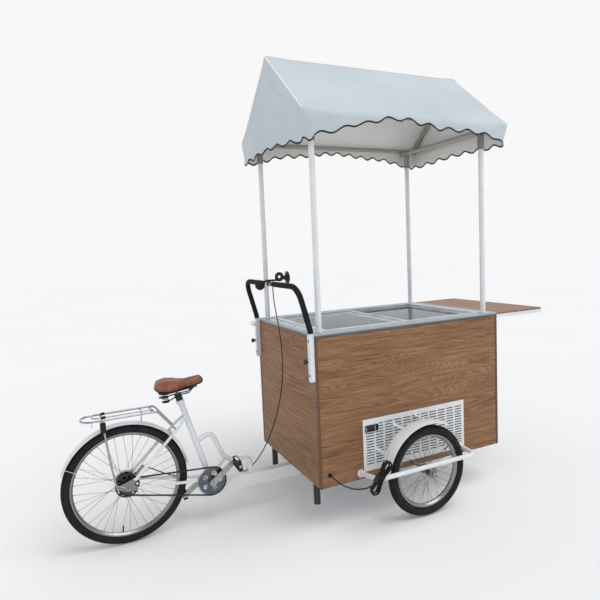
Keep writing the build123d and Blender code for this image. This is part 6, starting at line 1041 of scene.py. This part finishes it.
def make_nipples(name, body, axle, bed, spokes, valve_angle):
    """The spokes' bright nipples under the rim, and the tube's valve."""
    turned(NIPPLE_PROFILE, 6)
    places = []
    for index in range(spokes):
        angle = 2 * math.pi * index / spokes
        way = Vector((math.cos(angle), 0, math.sin(angle)))
        aside = Vector((0, NIPPLE_ASIDE if index % 2 else -NIPPLE_ASIDE, 0))
        places.append(facing(axle + aside + way * (bed - NIPPLE_IN), way))
    copies(places)
    soften(40)
    piece(f"{name}_spoke_nipples", NIPPLE_NICKEL, body)
    angle = math.radians(valve_angle)
    way = Vector((math.cos(angle), 0, math.sin(angle)))
    place = axle + way * (bed - VALVE_IN)
    fitting(f"{name}_valve", VALVE_PROFILE, 16, place, way, 40, RUBBER, body)


for wheel, (bed, spokes, valve_angle) in zip(WHEELS, RIMS):
    make_tyre(*wheel, bed)
    make_nipples(*wheel[:3], bed, spokes, valve_angle)

# Chain: links laid round chainring and cog, of 40 and 22 teeth
CHAIN_PITCH = 0.0127274
CHAIN_LINKS = 104
CRANK_AXLE = Vector((-0.710, -0.047, 0.252))
COG_AXLE = Vector((-1.167, -0.047, 0.327))
RING_R = 40 * CHAIN_PITCH / (2 * math.pi)
COG_R = 22 * CHAIN_PITCH / (2 * math.pi)
# side plates: end radius, waist, and the near and far face of the inner and the outer plates from the middle
PLATE_R = 0.0042
PLATE_WAIST = 0.0031
PLATE_FACES = ((0.0017, 0.0025), (0.0026, 0.0034))
ROLLER_PROFILE = ((-0.0034, 0.0018), (-0.0018, 0.0018), (-0.0016, 0.0036), (0.0016, 0.0036), (0.0018, 0.0018),
                  (0.0034, 0.0018))


def chain_places():
    """Pins of the chain in order: the top run, round the cog, the lower run, round the chainring."""
    span = COG_AXLE - CRANK_AXLE
    tilt = math.atan2(span.z, span.x)
    wrap = math.acos((RING_R - COG_R) / span.length)
    straight = math.sqrt(span.length ** 2 - (RING_R - COG_R) ** 2)

    def rim(axle, radius, angle):
        return axle + Vector((radius * math.cos(angle), 0, radius * math.sin(angle)))

    for index in range(CHAIN_LINKS):
        travel = index * CHAIN_PITCH
        if travel < straight:
            first = rim(CRANK_AXLE, RING_R, tilt - wrap)
            yield first.lerp(rim(COG_AXLE, COG_R, tilt - wrap), travel / straight)
        elif travel < straight + 2 * wrap * COG_R:
            yield rim(COG_AXLE, COG_R, tilt - wrap + (travel - straight) / COG_R)
        elif travel < 2 * straight + 2 * wrap * COG_R:
            share = (travel - straight - 2 * wrap * COG_R) / straight
            yield rim(COG_AXLE, COG_R, tilt + wrap).lerp(rim(CRANK_AXLE, RING_R, tilt + wrap), share)
        else:
            yield rim(CRANK_AXLE, RING_R, tilt + wrap + (travel - 2 * straight - 2 * wrap * COG_R) / RING_R)


def link_plates(near, far):
    """Two waisted side plates of one link, along X between its pins, as one mesh."""
    bpy.ops.mesh.primitive_circle_add(vertices=16, radius=1, fill_type="NGON")
    for vertex in bpy.context.object.data.vertices:
        across, along = vertex.co.y, vertex.co.x
        x = math.copysign(CHAIN_PITCH / 2, along) if abs(along) > 0.01 else 0.0
        if abs(along) > 0.3:
            vertex.co = (x + PLATE_R * along, PLATE_R * across, near)
        else:
            vertex.co = (x * 0.25, PLATE_WAIST * math.copysign(1, across), near)
    bpy.ops.object.mode_set(mode="EDIT")
    bpy.ops.mesh.select_all(action="SELECT")
    bpy.ops.mesh.extrude_region_move(TRANSFORM_OT_translate={"value": (0, 0, far - near)})
    bpy.ops.mesh.select_all(action="SELECT")
    bpy.ops.mesh.duplicate_move(TRANSFORM_OT_translate={"value": (0, 0, -far - near)})
    end_edit()


def make_chain():
    """The roller chain: inner and outer links in turn, and a roller on every pin."""
    pins = list(chain_places())
    spots = []
    for first, second in zip(pins, pins[1:] + pins[:1]):
        run = (second - first).normalized()
        side = Vector((0, -1, 0))
        turn = Matrix((run, run.cross(side) * -1, side)).transposed().to_4x4()
        spots.append((Matrix.Translation((first + second) / 2) @ turn, first))
    made = []
    for start, (near, far) in enumerate(PLATE_FACES):
        link_plates(near, far)
        copies([place for place, pin in spots[start::2]])
        made.append(bpy.context.object)
        bpy.ops.object.select_all(action="DESELECT")
    turned(ROLLER_PROFILE, 8)
    copies([facing(pin, (0, -1, 0)) for place, pin in spots])
    for part in made:
        part.select_set(True)
    bpy.ops.object.join()
    soften(35)
    chain = piece("roller_chain", CHAIN_STEEL, "rear_frame")
    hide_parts("chain")


make_chain()

# Small hardware: screw heads and hex bolts as (height, radius) outlines, each sunk a little in its seat
SCREW_PROFILE = ((-0.003, 0.0030), (0.0004, 0.0032), (0.0012, 0.0027), (0.0017, 0.0017), (0.0009, 0.0013))
BOLT_PROFILE = ((-0.004, 0.0052), (0.0010, 0.0055), (0.0042, 0.0055), (0.0050, 0.0047))
WASHER_PROFILE = ((-0.002, 0.0082), (0.0010, 0.0084), (0.0015, 0.0078))
# hinge leaves, front and left, and the screws along each
FRONT_HINGES = (-0.255, 0.255)
FRONT_HINGE_HEIGHT = 1.016
LEFT_HINGES = (0.051, 0.829)
LEFT_HINGE_HEIGHT = 0.978
HINGE_SCREWS = (-0.030, 0.0, 0.030)
HINGE_LEAF = 0.002
SOCKET_FACE = -0.237
SOCKET_SIDE = 0.408
SOCKET_BOLT_HEIGHTS = (0.868, 1.055)
DECK_SCREWS = (0.08, 0.42, 0.76)
DECK_SCREW_OUT = 0.028
# a guard's feet: x, height and their faces' distance from the middle plane, on the right and on the left
GUARD_FEET = ((0.048, 0.270, 0.430, 0.430), (0.732, 0.308, 0.4323, 0.430))
GUARD_SCREW_RING = 0.0172
# the controller's display and keys: places along the panel, depths behind the controller's face, heights
DISPLAY_SPAN = (0.0955, 0.1425)
DISPLAY_DEPTHS = (0.0002, 0.0012)
DISPLAY_HEIGHTS = (0.5085, 0.5285)
KEY_PLACES = ((0.0902, 0.5235), (0.0902, 0.5130), (0.1487, 0.5255), (0.1487, 0.5115))
KEY_DEPTHS = (-0.0009, 0.0010)
KEY_HALF = (0.0026, 0.0032)
# the rack's clamp and tab, as their low and high corners
LEG_CLAMP = ((-1.280, -0.0765, 0.648), (-1.254, -0.0505, 0.700))
HOOK_TAB = ((-1.3215, -0.0660, 0.682), (-1.3185, -0.0540, 0.7085))
CLIP_WIRE_R = 0.0035
CLIP_SLEEVE_IN = 0.060
CLIP_SLEEVE_PROFILE = ((-0.011, 0.0044), (-0.0105, 0.0062), (-0.007, 0.0074), (0.007, 0.0074),
                       (0.0105, 0.0062), (0.011, 0.0044))
# bands: radius across, radius up, half width and half thickness; where they sit
HANK_STRAP = (0.0215, 0.0215, 0.006, 0.0011)
STRAP_OUT = 0.0135
CABLE_TIE = (0.0060, 0.0075, 0.0017, 0.0006)
CABLE_TIES = ((-0.561, 0.034, 0.2165), (-0.838, 0.0575, 0.2640))
PEDAL_LEAN = math.radians(80.0)
REFLECTOR_SIZE = (0.046, 0.012)
REFLECTOR_THICK = 0.0014
REFLECTOR_OUT = 0.0302


def heads(name, profile, sides, places):
    """Copies of one turned steel head at several places on the cart, as one piece."""
    turned(profile, sides)
    copies([facing(place, way) for place, way in places])
    soften(35)
    piece(name, STEEL, "cart")


def block(name, low, high, bevel, material, body, slot, dish=0.0):
    """A moulded block between two corners: rounded edges, and, given a dish, a shallow step let into its
    large faces.
    """
    bpy.ops.mesh.primitive_cube_add(size=1)
    made = bpy.context.object
    made.scale = [far - near for near, far in zip(low, high)]
    made.location = [(far + near) / 2 for near, far in zip(low, high)]
    settle()
    begin_edit("EDGE")
    bpy.ops.mesh.select_all(action="SELECT")
    bpy.ops.mesh.bevel(offset=bevel, segments=3)
    if dish:
        area = 0.3 * max(face.area for face in bpy.context.object.data.polygons)
        choose("polygons", lambda face: face.area > area)
        bpy.ops.mesh.inset(thickness=2.2 * dish, depth=0.0, use_individual=True)
        bpy.ops.mesh.inset(thickness=0.5 * dish, depth=-dish, use_individual=True)
    end_edit(0.00001)
    soften(35)
    piece(name, material, body)


def ring(name, place, way, across, up, half_width, thick, material, body, slot):
    """A band round a bundle: an oval ring facing a direction, its section flattened."""
    bpy.ops.mesh.primitive_torus_add(major_radius=1, minor_radius=0.25, major_segments=40, minor_segments=8)
    for vertex in bpy.context.object.data.vertices:
        angle = math.atan2(vertex.co.y, vertex.co.x)
        out = (math.hypot(vertex.co.x, vertex.co.y) - 1) / 0.25
        vertex.co = ((across + thick * out) * math.cos(angle), (up + thick * out) * math.sin(angle),
                     half_width * vertex.co.z / 0.25)
    stand(place, way)
    soften(40)
    piece(name, material, body)


def make_fixings():
    """Hinge screws, socket and guard bolts, deck screws."""
    front, left, up = (1, 0, 0), (0, 1, 0), (0, 0, 1)
    face = PANEL_HIGH[0] + HINGE_LEAF
    places = [((face, y + step, FRONT_HINGE_HEIGHT), front) for y in FRONT_HINGES for step in HINGE_SCREWS]
    face = PANEL_HIGH[1] + HINGE_LEAF
    places += [((x + step, face, LEFT_HINGE_HEIGHT), left) for x in LEFT_HINGES for step in HINGE_SCREWS]
    heads("hinge_screws", SCREW_PROFILE, 14, places)
    sockets = [(side * SOCKET_SIDE, height) for side in (-1, 1) for height in SOCKET_BOLT_HEIGHTS]
    heads("socket_washers", WASHER_PROFILE, 24, [((SOCKET_FACE, *spot), (-1, 0, 0)) for spot in sockets])
    on_washer = SOCKET_FACE - 0.0012
    heads("socket_bolts", BOLT_PROFILE, 6, [((on_washer, *spot), (-1, 0, 0)) for spot in sockets])
    places = []
    for side in (-1, 1):
        for x, height, right_face, left_face in GUARD_FEET:
            y = side * (right_face if side < 0 else left_face)
            for angle in (math.radians(90), math.radians(210), math.radians(330)):
                aside, rise = GUARD_SCREW_RING * math.cos(angle), GUARD_SCREW_RING * math.sin(angle)
                places.append(((x + aside, y, height + rise), (0, side, 0)))
    heads("guard_foot_screws", SCREW_PROFILE, 14, places)
    edge = (DECK_HIGH[1] + TANK_HIGH[1]) / 2 + DECK_SCREW_OUT
    places = [((x, side * edge, DECK_HIGH[2]), up) for side in (-1, 1) for x in DECK_SCREWS]
    heads("deck_screws", SCREW_PROFILE, 14, places)


def make_controller_face():
    """The temperature controller's display pane and its four small pale keys."""
    depths = [CONTROLLER_FACE + depth for depth in DISPLAY_DEPTHS]
    corners = zip(DISPLAY_SPAN, depths, DISPLAY_HEIGHTS)
    block("controller_display", *corners, 0.0003, DISPLAY, "cart", "black_plastic")
    depths = [CONTROLLER_FACE + depth for depth in KEY_DEPTHS]
    half, tall = KEY_HALF
    for index, (x, z) in enumerate(KEY_PLACES):
        corners = zip((x - half, x + half), depths, (z - tall, z + tall))
        block(f"controller_key_{index + 1}", *corners, 0.0005, PALE_PLASTIC, "cart", "black_plastic")


def make_rack_fittings():
    """The moulded clamp and the hook tab on the rack, and the rubber sleeves of the spring clip."""
    block("rack_leg_clamp", *LEG_CLAMP, 0.004, BLACK_PLASTIC, "rear_frame", "black_plastic", dish=0.0012)
    block("rack_hook_tab", *HOOK_TAB, 0.0008, STEEL, "rear_frame", "steel")
    clip_low, clip_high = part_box("rack_clip")
    for side, name in ((-1, "right"), (1, "left")):
        wire = clip_high - Vector((0, CLIP_WIRE_R, CLIP_WIRE_R))
        place = (clip_low.x + CLIP_SLEEVE_IN, side * wire.y, wire.z)
        fitting(f"{name}_clip_sleeve", CLIP_SLEEVE_PROFILE, 18, place, (1, 0, 0), 40, RUBBER, "rack_clip")


def make_ties():
    """The strap round the cord's hank, and the ties that hold the brake cable on beam and stay."""
    ring("hank_strap", hank_place(0, 0, STRAP_OUT), HANK_ALONG, *HANK_STRAP, RUBBER, "cart", "rubber")
    for index, spot in enumerate(CABLE_TIES):
        name = f"cable_tie_{index + 1}"
        ring(name, spot, (1, 0, 0.05), *CABLE_TIE, BLACK_PLASTIC, "rear_frame", "black_plastic")


def make_pedal_reflectors():
    """A faceted reflector in the tread of each pedal, on its two long edges."""
    for name in ("right", "left"):
        low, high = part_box(f"{name}_pedal")
        middle = (low + high) / 2
        for index, end in enumerate((-1, 1)):
            way = Vector((math.cos(PEDAL_LEAN), 0, -math.sin(PEDAL_LEAN))) * end
            bpy.ops.mesh.primitive_grid_add(x_subdivisions=10, y_subdivisions=3, size=1)
            made = bpy.context.object
            made.scale = (*REFLECTOR_SIZE, 1)
            settle()
            begin_edit("FACE")
            choose("polygons", lambda face: True)
            bpy.ops.mesh.extrude_region_move(TRANSFORM_OT_translate={"value": (0, 0, REFLECTOR_THICK)})
            choose("polygons", lambda face: face.normal.z > 0.9 and face.center.z > 0.9 * REFLECTOR_THICK)
            bpy.ops.mesh.inset(thickness=0.0006, depth=0.0007, use_individual=True)
            end_edit(0.00001)
            side = Vector((0, 1, 0))
            turn = Matrix((side, way.cross(side), way)).transposed().to_4x4()
            made.matrix_world = Matrix.Translation(middle + way * REFLECTOR_OUT) @ turn
            soften(20)
            piece(f"{name}_pedal_reflector_{index + 1}", REFLECTOR, f"{name}_pedal")


make_fixings()
make_controller_face()
make_rack_fittings()
make_ties()
make_pedal_reflectors()

# Floor
bpy.ops.mesh.primitive_plane_add(size=60, location=(0, 0, -0.001))
bpy.context.object.name = "pale_floor"
FLOOR = finish("pale_floor", ((0.86, 0.86, 0.87), (0.88, 0.88, 0.89)), (0.8, 0.9), blotch=2.0, relief=0.0)
bpy.context.object.data.materials.append(FLOOR)
